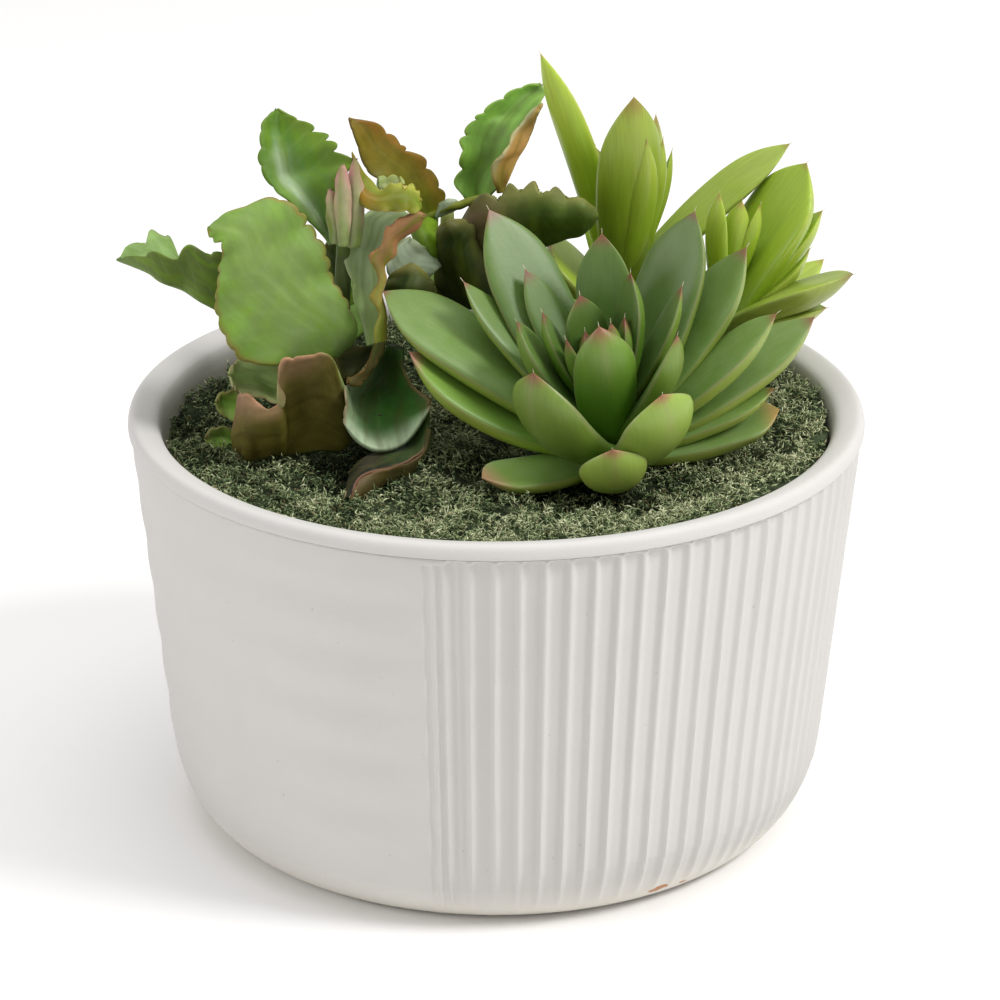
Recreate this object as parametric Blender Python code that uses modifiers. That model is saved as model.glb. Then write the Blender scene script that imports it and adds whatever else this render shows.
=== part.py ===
# Succulent dish garden: a half fluted earthenware bowl, filled with soil, topped with moss
# and planted with a fleshy rosette, two pointed heads and a toothed, waved leafy plant.
# Metres, +Z up. The origin is the middle of the bowl's flat base, and the front is towards -Y.

import math

import bmesh
import bpy
import numpy as np

MM = 0.001

# Bowl, in millimetres
RIM_RADIUS = 89.0
HEIGHT = 103.0
BASE_RADIUS = 68.0
FLOOR_TOP = 9.0
BAND_BOTTOM = 99.3
BAND_STEP = 0.4
BOWL_STEPS = 96

# Lip from the inside to the band, as (radius, height)
LIP = [(81.8, 99.0), (83.2, 100.9), (85.2, 102.4), (87.0, HEIGHT), (88.5, 102.2), (RIM_RADIUS, 100.8)]
# Outer side of the bowl from under the band to the base
OUTER_WALL = [(88.3, 98.9), (80.3, 20.0), (77.6, 9.5), (73.8, 3.0), (BASE_RADIUS, 0.0)]
# Inner side from the lip to the floor
INNER_WALL = [(80.6, 95.0), (79.0, 88.0), (73.0, 22.0), (66.0, FLOOR_TOP)]

# Flutes, which run round half of the bowl
FLUTE_PITCH = 3.75
FLUTE_COUNT = 48
FIRST_FLUTE = -5.8
NARROW_FLUTE = -8.4
FLUTE_RADIUS = 3.2
FLUTE_DEPTH = 1.0

# Filling
GAP = 0.35
SOIL_TOP = 88.0
MOSS_TOP = 93.0
MOSS_RINGS = (16.0, 32.0, 46.0, 58.0, 68.0, 75.0, 78.6)
MOSS_STEPS = 42
MOSS_DOME = 2.4
# Where low leaves press the moss down: centre, width and depth
MOSS_DENTS = ((9.0, -31.0, 15.0, 2.4), (28.0, -38.0, 12.0, 3.6))
SOIL_STEPS = 36

# Plants: where each stem stands on the soil, and its thickness
ROSETTE_FOOT = (27.5, -21.0)
LEFT_HEAD_FOOT = (33.0, 36.0)
RIGHT_HEAD_FOOT = (50.0, 26.0)
LEFT_STEM_FOOT = (-37.0, 2.0)
BACK_STEM_FOOT = (-12.0, 30.0)
LOW_STEM_FOOT = (-26.0, -19.0)
HOLE_DEPTH = 14.0
HOLE_REACH = 30.0

# A fleshy leaf is cut into these shares of its length, with this many points round each
FLESHY_SHARES = (0.0, 0.24, 0.46, 0.66, 0.83, 0.94)
FLESHY_POINTS = 8


def clear_scene():
    for thing in list(bpy.data.objects):
        bpy.data.objects.remove(thing, do_unlink=True)
    for group in list(bpy.data.collections):
        bpy.data.collections.remove(group)


def collection(name, hidden=False):
    made = bpy.data.collections.new(name)
    bpy.context.scene.collection.children.link(made)
    made.hide_render = hidden
    return made


def material(name, colour, roughness):
    made = bpy.data.materials.new(name)
    made.use_nodes = True
    shader = made.node_tree.nodes["Principled BSDF"]
    shader.inputs["Base Color"].default_value = (*colour, 1.0)
    shader.inputs["Roughness"].default_value = roughness
    shader.inputs["Metallic"].default_value = 0.0
    made.diffuse_color = (*colour, 1.0)
    return made


def mesh_object(name, points, faces, group):
    """A new object from points in millimetres."""
    mesh = bpy.data.meshes.new(name)
    mesh.from_pydata([tuple(float(c) * MM for c in p) for p in points], [], faces)
    mesh.validate()
    made = bpy.data.objects.new(name, mesh)
    group.objects.link(made)
    return made


def finish(thing, surface, angle=35.0):
    thing.data.materials.clear()
    thing.data.materials.append(surface)
    thing.data.shade_smooth()
    thing.data.set_sharp_from_angle(angle=math.radians(angle))
    return thing


def apply_modifiers(thing):
    """Replaces the object's mesh with the one that its modifiers make."""
    graph = bpy.context.evaluated_depsgraph_get()
    made = bpy.data.meshes.new_from_object(thing.evaluated_get(graph))
    thing.modifiers.clear()
    thing.data = made
    return thing


def turned(name, profile, steps, group, start=0.0):
    """A closed turned solid from (radius, height) points that run down the outer side."""
    angle = math.radians(start)
    points = [(radius * math.sin(angle), -radius * math.cos(angle), height) for radius, height in profile]
    edges = [(i, i + 1) for i in range(len(points) - 1)]
    mesh = bpy.data.meshes.new(name)
    mesh.from_pydata([(x * MM, y * MM, z * MM) for x, y, z in points], edges, [])
    made = bpy.data.objects.new(name, mesh)
    group.objects.link(made)
    screw = made.modifiers.new("Turn", "SCREW")
    screw.steps = steps
    screw.render_steps = steps
    screw.use_merge_vertices = True
    screw.merge_threshold = 0.00001
    return apply_modifiers(made)


def tube(name, path, radii, group, sides=2):
    """A round stem along a path in millimetres, thinner where its radii are smaller."""
    curve = bpy.data.curves.new(name, "CURVE")
    curve.dimensions = "3D"
    curve.bevel_depth = MM
    curve.bevel_resolution = sides
    curve.use_fill_caps = True
    spline = curve.splines.new("POLY")
    spline.points.add(len(path) - 1)
    for point, place, radius in zip(spline.points, path, radii):
        point.co = (*(float(c) * MM for c in place), 1.0)
        point.radius = radius
    drawn = bpy.data.objects.new(name, curve)
    group.objects.link(drawn)
    graph = bpy.context.evaluated_depsgraph_get()
    mesh = bpy.data.meshes.new_from_object(drawn.evaluated_get(graph))
    bpy.data.objects.remove(drawn, do_unlink=True)
    made = bpy.data.objects.new(name, mesh)
    group.objects.link(made)
    rebuilt = bmesh.new()
    rebuilt.from_mesh(mesh)
    bmesh.ops.remove_doubles(rebuilt, verts=rebuilt.verts, dist=0.00001)
    bmesh.ops.recalc_face_normals(rebuilt, faces=rebuilt.faces)
    rebuilt.to_mesh(mesh)
    rebuilt.free()
    return made


def boolean(thing, operation, group, solver):
    joint = thing.modifiers.new(operation.title(), "BOOLEAN")
    joint.operation = operation
    joint.operand_type = "COLLECTION"
    joint.collection = group
    joint.solver = solver
    return apply_modifiers(thing)


def keep_main_body(thing):
    """Drops loose scraps and sealed hollows that a union leaves: only the widest shell stays."""
    work = bmesh.new()
    work.from_mesh(thing.data)
    bmesh.ops.remove_doubles(work, verts=work.verts, dist=0.000001)
    work.verts.ensure_lookup_table()
    left = set(work.verts)
    shells = []
    while left:
        shell = {left.pop()}
        edge = list(shell)
        while edge:
            for link in edge.pop().link_edges:
                for corner in link.verts:
                    if corner in left:
                        left.remove(corner)
                        shell.add(corner)
                        edge.append(corner)
        shells.append(shell)
    main = max(shells, key=lambda s: np.ptp(np.array([v.co for v in s]), axis=0).sum())
    spare = [v for shell in shells if shell is not main for v in shell]
    bmesh.ops.delete(work, geom=spare, context="VERTS")
    work.to_mesh(thing.data)
    work.free()
    return thing


def joined(name, core, group, surface):
    """One solid: the core with every object of the group fused to it."""
    boolean(core, "UNION", group, "MANIFOLD")
    for piece in list(group.objects):
        bpy.data.objects.remove(piece, do_unlink=True)
    bpy.data.collections.remove(group)
    keep_main_body(core)
    core.name = name
    return finish(core, surface)


# Bowl


def bowl_profile():
    """From the middle of the floor up the inside, over the lip and down the outside."""
    inner = list(reversed(INNER_WALL))
    band = [(RIM_RADIUS - 0.1, BAND_BOTTOM + BAND_STEP)]
    return [(0.0, FLOOR_TOP)] + inner + LIP + band + OUTER_WALL + [(0.0, 0.0)]


def flute_path(offset):
    """A flute's middle line, kept outside the wall, and leaving it at both ends."""
    wall = OUTER_WALL[:4]
    path = [(wall[0][0] + offset + 1.6, wall[0][1] + 1.2), (wall[0][0] + offset, wall[0][1] - 2.6)]
    path += [(wall[1][0] + offset, wall[1][1] + 2.0)]
    path += [(wall[2][0] + 0.94 * offset, wall[2][1] - 0.34 * offset)]
    path += [(wall[3][0] + 1.25 * offset, wall[3][1] - 0.8 * offset)]
    return path


def flute(turn, size, group):
    offset = FLUTE_RADIUS * size - FLUTE_DEPTH * size
    angle = math.radians(turn)
    path = [(r * math.sin(angle), -r * math.cos(angle), z) for r, z in flute_path(offset)]
    radii = [FLUTE_RADIUS * size * r / RIM_RADIUS for r, z in flute_path(offset)]
    cutter = tube("flute", path, radii, group)
    cutter.display_type = "WIRE"
    cutter.hide_render = True
    return cutter


def make_bowl(parts, surface):
    rib = FIRST_FLUTE - FLUTE_PITCH / 2
    bowl = turned("bowl", bowl_profile(), BOWL_STEPS, parts, rib)
    cutters = collection("flute_cutters", hidden=True)
    for index in range(FLUTE_COUNT):
        flute(FIRST_FLUTE + index * FLUTE_PITCH, 1.0, cutters)
    flute(NARROW_FLUTE, 0.4, cutters)
    boolean(bowl, "DIFFERENCE", cutters, "MANIFOLD")
    for cutter in list(cutters.objects):
        bpy.data.objects.remove(cutter, do_unlink=True)
    return finish(bowl, surface)


# Soil and moss


def cut_stem_holes(thing):
    """Plain round holes in which the stems stand, cut from their floor in the soil to above the moss."""
    depth = HOLE_DEPTH + HOLE_REACH
    holes = collection("stem_holes", hidden=True)
    for foot, radius in STEM_FEET:
        bpy.ops.mesh.primitive_cylinder_add(
            vertices=12,
            radius=(radius + GAP) * MM,
            depth=depth * MM,
            location=(foot[0] * MM, foot[1] * MM, (SOIL_TOP - HOLE_DEPTH + depth / 2) * MM),
        )
        hole = bpy.context.object
        for group in list(hole.users_collection):
            group.objects.unlink(hole)
        holes.objects.link(hole)
        hole.hide_render = True
        hole.display_type = "WIRE"
    boolean(thing, "DIFFERENCE", holes, "MANIFOLD")
    for hole in list(holes.objects):
        bpy.data.objects.remove(hole, do_unlink=True)
    bpy.data.collections.remove(holes)


def make_soil(parts, surface):
    side = [(radius - GAP, height) for radius, height in INNER_WALL[1:3]]
    floor = FLOOR_TOP + GAP
    profile = [(0.0, SOIL_TOP), (side[0][0], SOIL_TOP), side[1]]
    profile += [(INNER_WALL[3][0] - GAP, floor), (0.0, floor)]
    soil = turned("potting_soil", profile, SOIL_STEPS, parts)
    cut_stem_holes(soil)
    return finish(soil, surface)


def moss_height(x, y):
    """Soft lumps on the moss, in millimetres above its level."""
    lumps = 0.9 * np.sin(x / 9.0 + 0.6) * np.cos(y / 8.0) + 0.7 * np.sin(x / 5.1 - y / 6.3 + 1.0)
    dome = MOSS_DOME * (1.0 - (x * x + y * y) / MOSS_RINGS[-1] ** 2)
    height = MOSS_TOP + lumps + dome
    for centre_x, centre_y, wide, deep in MOSS_DENTS:
        height = height - deep * np.exp(-((x - centre_x) ** 2 + (y - centre_y) ** 2) / wide**2)
    return height


def make_moss(parts, surface):
    rings = np.array(MOSS_RINGS)
    turns = np.arange(MOSS_STEPS) * 2 * np.pi / MOSS_STEPS
    x = rings[:, None] * np.sin(turns)
    y = -rings[:, None] * np.cos(turns)
    top = np.stack([x, y, moss_height(x, y)], -1).reshape(-1, 3)
    low = top[-MOSS_STEPS:] * (1, 1, 0) + (0, 0, SOIL_TOP + GAP)
    points = np.vstack([top, low, [[0, 0, moss_height(0, 0)], [0, 0, SOIL_TOP + GAP]]])
    count = MOSS_STEPS
    faces = []
    for ring in range(len(rings)):
        for i in range(count):
            a, b = ring * count + i, ring * count + (i + 1) % count
            faces.append((a, a + count, b + count, b))
    middle = len(points) - 2
    last = len(rings) * count
    for i in range(count):
        faces.append((middle, i, (i + 1) % count))
        faces.append((middle + 1, last + (i + 1) % count, last + i))
    moss = mesh_object("moss", points, faces, parts)
    cut_stem_holes(moss)
    return finish(moss, surface, 60.0)


# Leaves


def head_axes(lean, toward):
    """Axes of a head that leans from upright by some degrees towards a turn."""
    turn = math.radians(toward)
    angle = math.radians(lean)
    ahead = np.array([math.sin(turn), -math.cos(turn), 0.0])
    axis = np.cross([0.0, 0.0, 1.0], ahead)
    skew = np.array([[0, -axis[2], axis[1]], [axis[2], 0, -axis[0]], [-axis[1], axis[0], 0]])
    return np.eye(3) + math.sin(angle) * skew + (1 - math.cos(angle)) * skew @ skew


def leaf_line(base, turn, rise, length, shares, bend=0.0, swing=0.0, roll=0.0, axes=None):
    """Points along a leaf's arc, with the right side and the upper face there.

    A turn of 0 points to the front and 90 to the right. The rise grows by bend and the turn
    by swing from the base to the tip, and roll lifts the right side.
    """
    fine = np.linspace(0.0, 1.0, 61)
    middle = (fine[1:] + fine[:-1]) / 2 - 0.5

    def direction(at):
        up = np.radians(rise + bend * at)
        round_ = np.radians(turn + swing * at)
        flat = np.stack([np.sin(round_), -np.cos(round_), np.zeros_like(at)], -1)
        return flat * np.cos(up)[:, None] + np.array([0, 0, 1.0]) * np.sin(up)[:, None], round_

    walked = np.vstack([[0, 0, 0], np.cumsum(direction(middle)[0], axis=0)]) * length / 60
    shares = np.asarray(shares, float)
    path = np.stack([np.interp(shares, fine, walked[:, k]) for k in range(3)], -1)
    ahead, round_ = direction(shares - 0.5)
    side = np.stack([np.cos(round_), np.sin(round_), np.zeros_like(round_)], -1)
    face = np.cross(ahead, side)
    tilt = math.radians(roll)
    right = side * math.cos(tilt) + face * math.sin(tilt)
    upper = face * math.cos(tilt) - side * math.sin(tilt)
    if axes is not None:
        path, ahead, right, upper = (v @ axes.T for v in (path, ahead, right, upper))
    return path + np.asarray(base, float), right, upper


def fleshy_width(share, widest, root):
    """Half width over the leaf's length, as a share of the widest: narrow root, pointed tip."""
    swell = root + (1 - root) * np.sin(np.pi / 2 * np.clip(share / widest, 0, 1)) ** 1.3
    point = np.cos(np.pi / 2 * np.clip((share - widest) / (1 - widest), 0, 1) ** 1.7)
    return np.where(share < widest, swell, point)


def fleshy_depth(share):
    """Thickness over the leaf's length, as a share of the thickest."""
    swell = 0.55 + 0.45 * np.sin(np.pi / 2 * np.clip(share / 0.5, 0, 1))
    point = np.cos(np.pi / 2 * np.clip((share - 0.5) / 0.5, 0, 1) ** 1.7)
    return np.where(share < 0.5, swell, point)


def fleshy_leaf(group, base, turn, rise, length, width, depth, bend, roll, axes, widest, root):
    """A thick pointed leaf, nearly flat above and keeled below."""
    shares = np.array(FLESHY_SHARES + (1.0,))
    path, side, face = leaf_line(base, turn, rise, length, shares, bend, 0.0, roll, axes)
    angle = np.arange(FLESHY_POINTS) * 2 * np.pi / FLESHY_POINTS
    across = np.cos(angle)
    rise_of = np.where(np.sin(angle) > 0, 0.22, 0.78) * np.sin(angle)
    half = width / 2 * fleshy_width(shares[:-1], widest, root)
    thick = depth * fleshy_depth(shares[:-1])
    rings = (
        path[:-1, None]
        + side[:-1, None] * (half[:, None] * across)[..., None]
        + face[:-1, None] * (thick[:, None] * rise_of)[..., None]
    )
    points = np.vstack([rings.reshape(-1, 3), path[-1:]])
    count = FLESHY_POINTS
    faces = [tuple(reversed(range(count)))]
    for ring in range(len(rings) - 1):
        for i in range(count):
            a, b = ring * count + i, ring * count + (i + 1) % count
            faces.append((a, b, b + count, a + count))
    last = (len(rings) - 1) * count
    for i in range(count):
        faces.append((last + i, last + (i + 1) % count, len(points) - 1))
    return mesh_object("leaf", points, faces, group)


def blade_rows(teeth):
    """Where a blade's rows lie along it, and 1 at each notch between two teeth."""
    shares = [0.0, 0.16] + [0.16 + 0.84 * k / (2 * teeth) for k in range(1, 2 * teeth + 1)]
    notch = [0.0, 0.0] + [float(k % 2 == 0 and k < 2 * teeth) for k in range(1, 2 * teeth + 1)]
    return np.array(shares), np.array(notch)


def blade_width(share, stalk, tip):
    """Half width along a blade with a short stalk and a blunt tip."""
    along = np.clip((share - 0.12) / 0.88, 0, 1)
    full = np.sin(np.pi * along**0.85) ** 0.6
    blunt = stalk + (tip - stalk) * along
    return np.where(share < 0.14, stalk, np.maximum(stalk + (1 - stalk) * full, blunt))


def blade_leaf(
    group, base, turn, rise, length, width, bend=0.0, swing=0.0, roll=0.0, fold=15.0,
    curl=(0.0, 0.0), ruffle=0.0, waves=2.0, phase=0.0, teeth=6, columns=4, notch=0.16,
    thick=1.5, stalk=0.16, tip=0.22,
):
    """A thin toothed leaf. Each half rises by fold, bends on by curl to its edge, and waves."""
    shares, notches = blade_rows(teeth)
    path, side, face = leaf_line(base, turn, rise, length, shares, bend, swing, roll)
    across = np.linspace(-1.0, 1.0, columns + 1)
    half = width / 2 * blade_width(shares, stalk, tip)
    half = half[:, None] * (1 - notch * notches[:, None] * np.abs(across) ** 3)
    bent = np.radians(np.where(across < 0, curl[0], curl[1])) + 1e-6
    start = math.radians(fold)
    reach = np.abs(across)
    out = np.sign(across) * (np.sin(start + bent * reach) - math.sin(start)) / bent
    lift = (math.cos(start) - np.cos(start + bent * reach)) / bent
    beat = np.sin(2 * np.pi * waves * shares[:, None] + phase + 1.4 * np.sign(across))
    swell = np.clip((shares - 0.1) / 0.3, 0, 1)[:, None]
    height = half * lift + ruffle * beat * reach**1.6 * swell
    mid = path[:, None] + side[:, None] * (half * out)[..., None] + face[:, None] * height[..., None]
    along, over = np.gradient(mid, axis=0), np.gradient(mid, axis=1)
    normal = np.cross(over, along)
    normal /= np.linalg.norm(normal, axis=-1, keepdims=True)
    depth = thick / 2 * (1 - 0.42 * reach) * np.where(shares < 0.15, 1.3, 1.0)[:, None]
    upper, lower = mid - normal * depth[..., None], mid + normal * depth[..., None]
    rows, line = len(shares), columns + 1
    points = np.vstack([upper.reshape(-1, 3), lower.reshape(-1, 3)])
    under = rows * line
    faces = []
    for r in range(rows - 1):
        for c in range(columns):
            a, b, d, e = r * line + c, r * line + c + 1, (r + 1) * line + c, (r + 1) * line + c + 1
            for corner in ((a, b, e), (a, e, d)) if c >= columns / 2 else ((a, b, d), (b, e, d)):
                faces.append(corner)
                faces.append(tuple(under + i for i in reversed(corner)))
        for c, flip in ((0, False), (columns, True)):
            a, d = r * line + c, (r + 1) * line + c
            edge = (a, d, under + d, under + a)
            faces.append(tuple(reversed(edge)) if flip else edge)
    for r, flip in ((0, True), (rows - 1, False)):
        for c in range(columns):
            a, b = r * line + c, r * line + c + 1
            edge = (a, b, under + b, under + a)
            faces.append(tuple(reversed(edge)) if flip else edge)
    leaf = mesh_object("leaf", points, faces, group)
    work = bmesh.new()
    work.from_mesh(leaf.data)
    bmesh.ops.recalc_face_normals(work, faces=work.faces)
    work.to_mesh(leaf.data)
    work.free()
    return leaf


def stem_path(foot, bends):
    """A stem from the bottom of its hole in the soil, straight up, and then through its bends."""
    return [(*foot, SOIL_TOP - HOLE_DEPTH + GAP), (*foot, MOSS_TOP + 1.0)] + list(bends)


def head(name, foot, crown, lean, toward, stem, leaves, shape, parts, surface):
    """A stem with a rosette of fleshy leaves round a crown."""
    axes = head_axes(lean, toward)
    up = axes[:, 2]
    top = np.array(crown) + up * stem["top"]
    group = collection(name + "_leaves")
    path = stem_path(foot, [crown, tuple(top)])
    core = tube(name, path, [stem["radius"], stem["radius"], stem["radius"], stem["tip"]], parts)
    for turn, rise, length, width, bend, height, roll in leaves:
        base = np.array(crown) + up * height
        depth = shape["depth"] * width + 1.5
        fleshy_leaf(
            group, base, turn, rise, length, width, depth, bend, roll, axes,
            shape["widest"], shape["root"],
        )
    return joined(name, core, group, surface)


# Front rosette. Each leaf: turn, rise, length, width, bend, height on the crown, roll
ROSETTE_LEAVES = [
    (-60, 14, 37, 14, 2, -1, 0), (2, 33, 33, 17, 66, 0, 0), (97, 4, 41, 16, 16, 0, 0),
    (96, 12, 41, 12, 10, 1, 0), (106, 21, 57, 18, 10, 1, 0), (-98, 34, 53, 13, 30, 1, 0),
    (-112, 33, 63, 20, -10, 2, 0), (34, 46, 39, 20, 50, 2, 0), (-38, 56, 42, 20, 50, 2, 0),
    (93, 34, 51, 15, 8, 3, 0), (120, 39, 55, 17, 10, 4, 0), (134, 50, 56, 19, 10, 5, 0),
    (-143, 52, 60, 19, 8, 5, 0), (168, 66, 46, 14, 14, 7, 0), (-119, 47, 50, 10, 14, 5, 0),
    (-141, 55, 42, 10, 14, 7, 0), (8, 77, 39, 15, 20, 3, 0), (66, 57, 38, 13, 20, 4, 0),
    (104, 56, 39, 8, 14, 8, 0), (119, 73, 38, 11, 12, 9, 0), (-94, 61, 37, 12, 18, 6, 0),
    (-98, 69, 33, 8, 14, 9, 0), (-150, 81, 32, 11, 10, 10, 0), (100, 74, 26, 8, 8, 11, 0),
    (-102, 84, 23, 7, 6, 11, 0), (-64, 73, 26, 6, 6, 10, 0), (56, 80, 27, 7, 6, 11, 0),
    (-166, 34, 40, 14, 6, 3, 0), (152, 22, 40, 14, 6, 2, 0),
]
LEFT_HEAD_LEAVES = [
    (-66, 76, 70, 13, -14, 2, 30), (25, 74, 60, 19, 6, 4, 0), (80, 76, 52, 12, 6, 4, 0),
    (30, 69, 48, 10, 8, 4, 0), (48, 71, 43, 10, 8, 6, 0), (90, 65, 37, 8, 8, 6, 0),
    (99, 37, 59, 13, -14, 5, 35), (-95, 44, 24, 12, 10, 0, 0), (165, 64, 48, 14, 8, 2, 0),
    (-150, 58, 46, 13, 8, 3, 0),
]
RIGHT_HEAD_LEAVES = [
    (118, 75, 43, 17, -10, 4, 0), (98, 57, 38, 11, 0, 3, 0), (100, 48, 31, 10, 0, 2, 0),
    (66, 37, 40, 15, -20, 1, 0), (72, 28, 32, 13, -10, 0, 0), (-60, 78, 30, 8, 8, 8, 0),
    (-20, 84, 30, 8, 8, 8, 0), (165, 40, 38, 12, 8, 2, 0), (128, 26, 36, 12, 8, 0, 0),
]


def make_rosette(parts, surface):
    stem = {"top": 13.0, "radius": 5.0, "tip": 3.0}
    shape = {"depth": 0.36, "widest": 0.58, "root": 0.62}
    crown = (*ROSETTE_FOOT, 99.0)
    return head("rosette", ROSETTE_FOOT, crown, 15, -30, stem, ROSETTE_LEAVES, shape, parts, surface)


def make_left_head(parts, surface):
    stem = {"top": 8.0, "radius": 3.2, "tip": 2.4}
    shape = {"depth": 0.3, "widest": 0.48, "root": 0.6}
    crown = (31.0, 34.0, 114.0)
    leaves = LEFT_HEAD_LEAVES
    return head("left_pointed_head", LEFT_HEAD_FOOT, crown, 4, -90, stem, leaves, shape, parts, surface)


def make_right_head(parts, surface):
    stem = {"top": 10.0, "radius": 3.2, "tip": 2.4}
    shape = {"depth": 0.3, "widest": 0.48, "root": 0.6}
    crown = (54.0, 24.0, 113.0)
    leaves = RIGHT_HEAD_LEAVES
    return head("right_pointed_head", RIGHT_HEAD_FOOT, crown, 10, 85, stem, leaves, shape, parts, surface)


# Toothed plant


def on_stem(path, height):
    """The point of a stem's middle line at a height."""
    line = np.array(path, float)
    return tuple(np.interp(height, line[:, 2], line[:, k]) for k in range(3))


def leafy_stem(name, path, radii, leaves, parts, surface):
    core = tube(name, path, radii, parts)
    group = collection(name + "_leaves")
    for leaf in leaves:
        shape = dict(leaf)
        blade_leaf(group, base=on_stem(path, shape.pop("height")), **shape)
    return joined(name, core, group, surface)


# Blades of each stem, as blade_leaf takes them, with the height at which they leave the stem
LEFT_STEM_LEAVES = [
    dict(height=140, turn=-112, rise=61, length=41, width=25, roll=-48, fold=26, ruffle=1.2, bend=-14),
    dict(height=116, turn=-58, rise=58, length=53, width=38, roll=-70, fold=6, ruffle=2.2, waves=2.5,
         bend=16, teeth=8, stalk=0.1, tip=0.3),
    dict(height=120, turn=-80, rise=25, length=59, width=23, roll=8, fold=50, ruffle=1.4, bend=-16,
         teeth=7),
    dict(height=116, turn=66, rise=67, length=42, width=23, roll=75, fold=18, curl=(0, 60), ruffle=1.8,
         waves=3, bend=8, teeth=7),
    dict(height=146, turn=66, rise=44, length=25, width=18, roll=-10, fold=44, ruffle=1.0, bend=-30,
         teeth=5, columns=2),
    dict(height=145, turn=-10, rise=84, length=21, width=9, fold=30, teeth=3, columns=2, thick=1.8),
    dict(height=144, turn=-22, rise=64, length=17, width=9, fold=30, teeth=3, columns=2, thick=1.8),
    dict(height=112, turn=-160, rise=24, length=38, width=25, fold=20, ruffle=1.6, bend=-30, teeth=5),
]
BACK_STEM_LEAVES = [
    dict(height=137, turn=-57, rise=48, length=43, width=22, roll=-50, fold=18, ruffle=1.4, bend=14),
    dict(height=136, turn=114, rise=58, length=45, width=21, roll=60, fold=28, ruffle=1.6, bend=14,
         teeth=7),
    dict(height=122, turn=70, rise=29, length=46, width=31, roll=-74, fold=12, ruffle=2.6, waves=3,
         bend=16, thick=2.2, teeth=5),
    dict(height=120, turn=20, rise=65, length=30, width=25, roll=-26, fold=14, ruffle=1.8, teeth=4),
    dict(height=118, turn=-26, rise=52, length=28, width=15, roll=-30, fold=20, teeth=4, columns=2),
    dict(height=116, turn=-40, rise=44, length=26, width=15, roll=-10, fold=20, teeth=4, columns=2),
    dict(height=112, turn=175, rise=24, length=36, width=24, fold=20, ruffle=1.6, bend=-30, teeth=5),
]
LOW_STEM_LEAVES = [
    dict(height=102, turn=-62, rise=12, length=43, width=33, roll=64, fold=10, ruffle=5.0, waves=2.0,
         bend=-22, teeth=7, phase=4.0),
    dict(height=118, turn=-8, rise=-20, length=28, width=26, roll=-10, fold=34, curl=(10, 34),
         ruffle=2.0, waves=2.5, bend=-36, tip=0.55),
    dict(height=104, turn=-20, swing=-90, rise=-6, length=42, width=15, roll=-40, fold=24, ruffle=1.0,
         bend=-26),
    dict(height=117, turn=0, rise=50, length=12, width=10, fold=44, teeth=3, columns=2),
    dict(height=118, turn=-80, rise=40, length=14, width=10, fold=40, teeth=3, columns=2),
]


def make_toothed_plant(parts, surfaces):
    path = stem_path(LEFT_STEM_FOOT, [(-37, -1, 120), (-36, -4, 150)])
    leafy_stem("left_toothed_stem", path, [2.6, 2.6, 2.2, 1.6], LEFT_STEM_LEAVES, parts, surfaces[0])
    path = stem_path(BACK_STEM_FOOT, [(-12, 28, 120), (-12, 30, 142)])
    leafy_stem("back_toothed_stem", path, [2.6, 2.6, 2.2, 1.6], BACK_STEM_LEAVES, parts, surfaces[1])
    path = stem_path(LOW_STEM_FOOT, [(-26, -19, 104), (-25, -18, 121)])
    leafy_stem("low_toothed_stem", path, [2.6, 2.6, 2.4, 1.8], LOW_STEM_LEAVES, parts, surfaces[2])


STEM_FEET = (
    (ROSETTE_FOOT, 5.0),
    (LEFT_HEAD_FOOT, 3.2),
    (RIGHT_HEAD_FOOT, 3.2),
    (LEFT_STEM_FOOT, 2.6),
    (BACK_STEM_FOOT, 2.6),
    (LOW_STEM_FOOT, 2.6),
)


def main():
    clear_scene()
    parts = collection("succulent_dish_garden")
    make_bowl(parts, material("white earthenware", (0.84, 0.83, 0.81), 0.62))
    make_soil(parts, material("potting soil", (0.05, 0.035, 0.025), 0.95))
    make_moss(parts, material("preserved moss", (0.16, 0.22, 0.15), 0.95))
    make_rosette(parts, material("rosette leaf", (0.16, 0.33, 0.12), 0.45))
    pointed = material("pointed leaf", (0.30, 0.46, 0.10), 0.42)
    make_left_head(parts, pointed)
    make_right_head(parts, pointed)
    green = material("green toothed leaf", (0.22, 0.36, 0.11), 0.45)
    olive = material("olive toothed leaf", (0.20, 0.22, 0.08), 0.45)
    bronze = material("bronze toothed leaf", (0.18, 0.14, 0.07), 0.45)
    make_toothed_plant(parts, (green, olive, bronze))


main()
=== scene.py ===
import math

import bpy
import mathutils
import numpy as np
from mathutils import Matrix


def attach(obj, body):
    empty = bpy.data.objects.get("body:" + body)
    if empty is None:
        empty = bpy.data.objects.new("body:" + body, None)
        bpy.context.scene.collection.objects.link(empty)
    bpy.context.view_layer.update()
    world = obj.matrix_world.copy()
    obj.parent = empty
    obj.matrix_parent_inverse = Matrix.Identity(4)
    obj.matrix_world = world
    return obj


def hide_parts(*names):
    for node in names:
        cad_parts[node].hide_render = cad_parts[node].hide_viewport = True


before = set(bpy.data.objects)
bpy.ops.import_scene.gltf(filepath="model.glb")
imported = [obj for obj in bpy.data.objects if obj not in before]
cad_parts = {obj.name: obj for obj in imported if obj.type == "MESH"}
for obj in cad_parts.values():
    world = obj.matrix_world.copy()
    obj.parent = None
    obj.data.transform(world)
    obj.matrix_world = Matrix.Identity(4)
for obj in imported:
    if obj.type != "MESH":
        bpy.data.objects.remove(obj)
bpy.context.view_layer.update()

mm = 0.001


# Helpers for meshes, colours and nodes


def ease(value, low, high):
    # 0 below low, 1 above high, and 3t^2 - 2t^3 between them
    share = np.clip((np.asarray(value, float) - low) / (high - low), 0.0, 1.0)
    return share * share * (3.0 - 2.0 * share)


def blend(first, second, share):
    # first * (1 - share) + second * share, for colours on a grid
    share = np.asarray(share, float)[..., None]
    return np.asarray(first, float) * (1.0 - share) + np.asarray(second, float) * share


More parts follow.
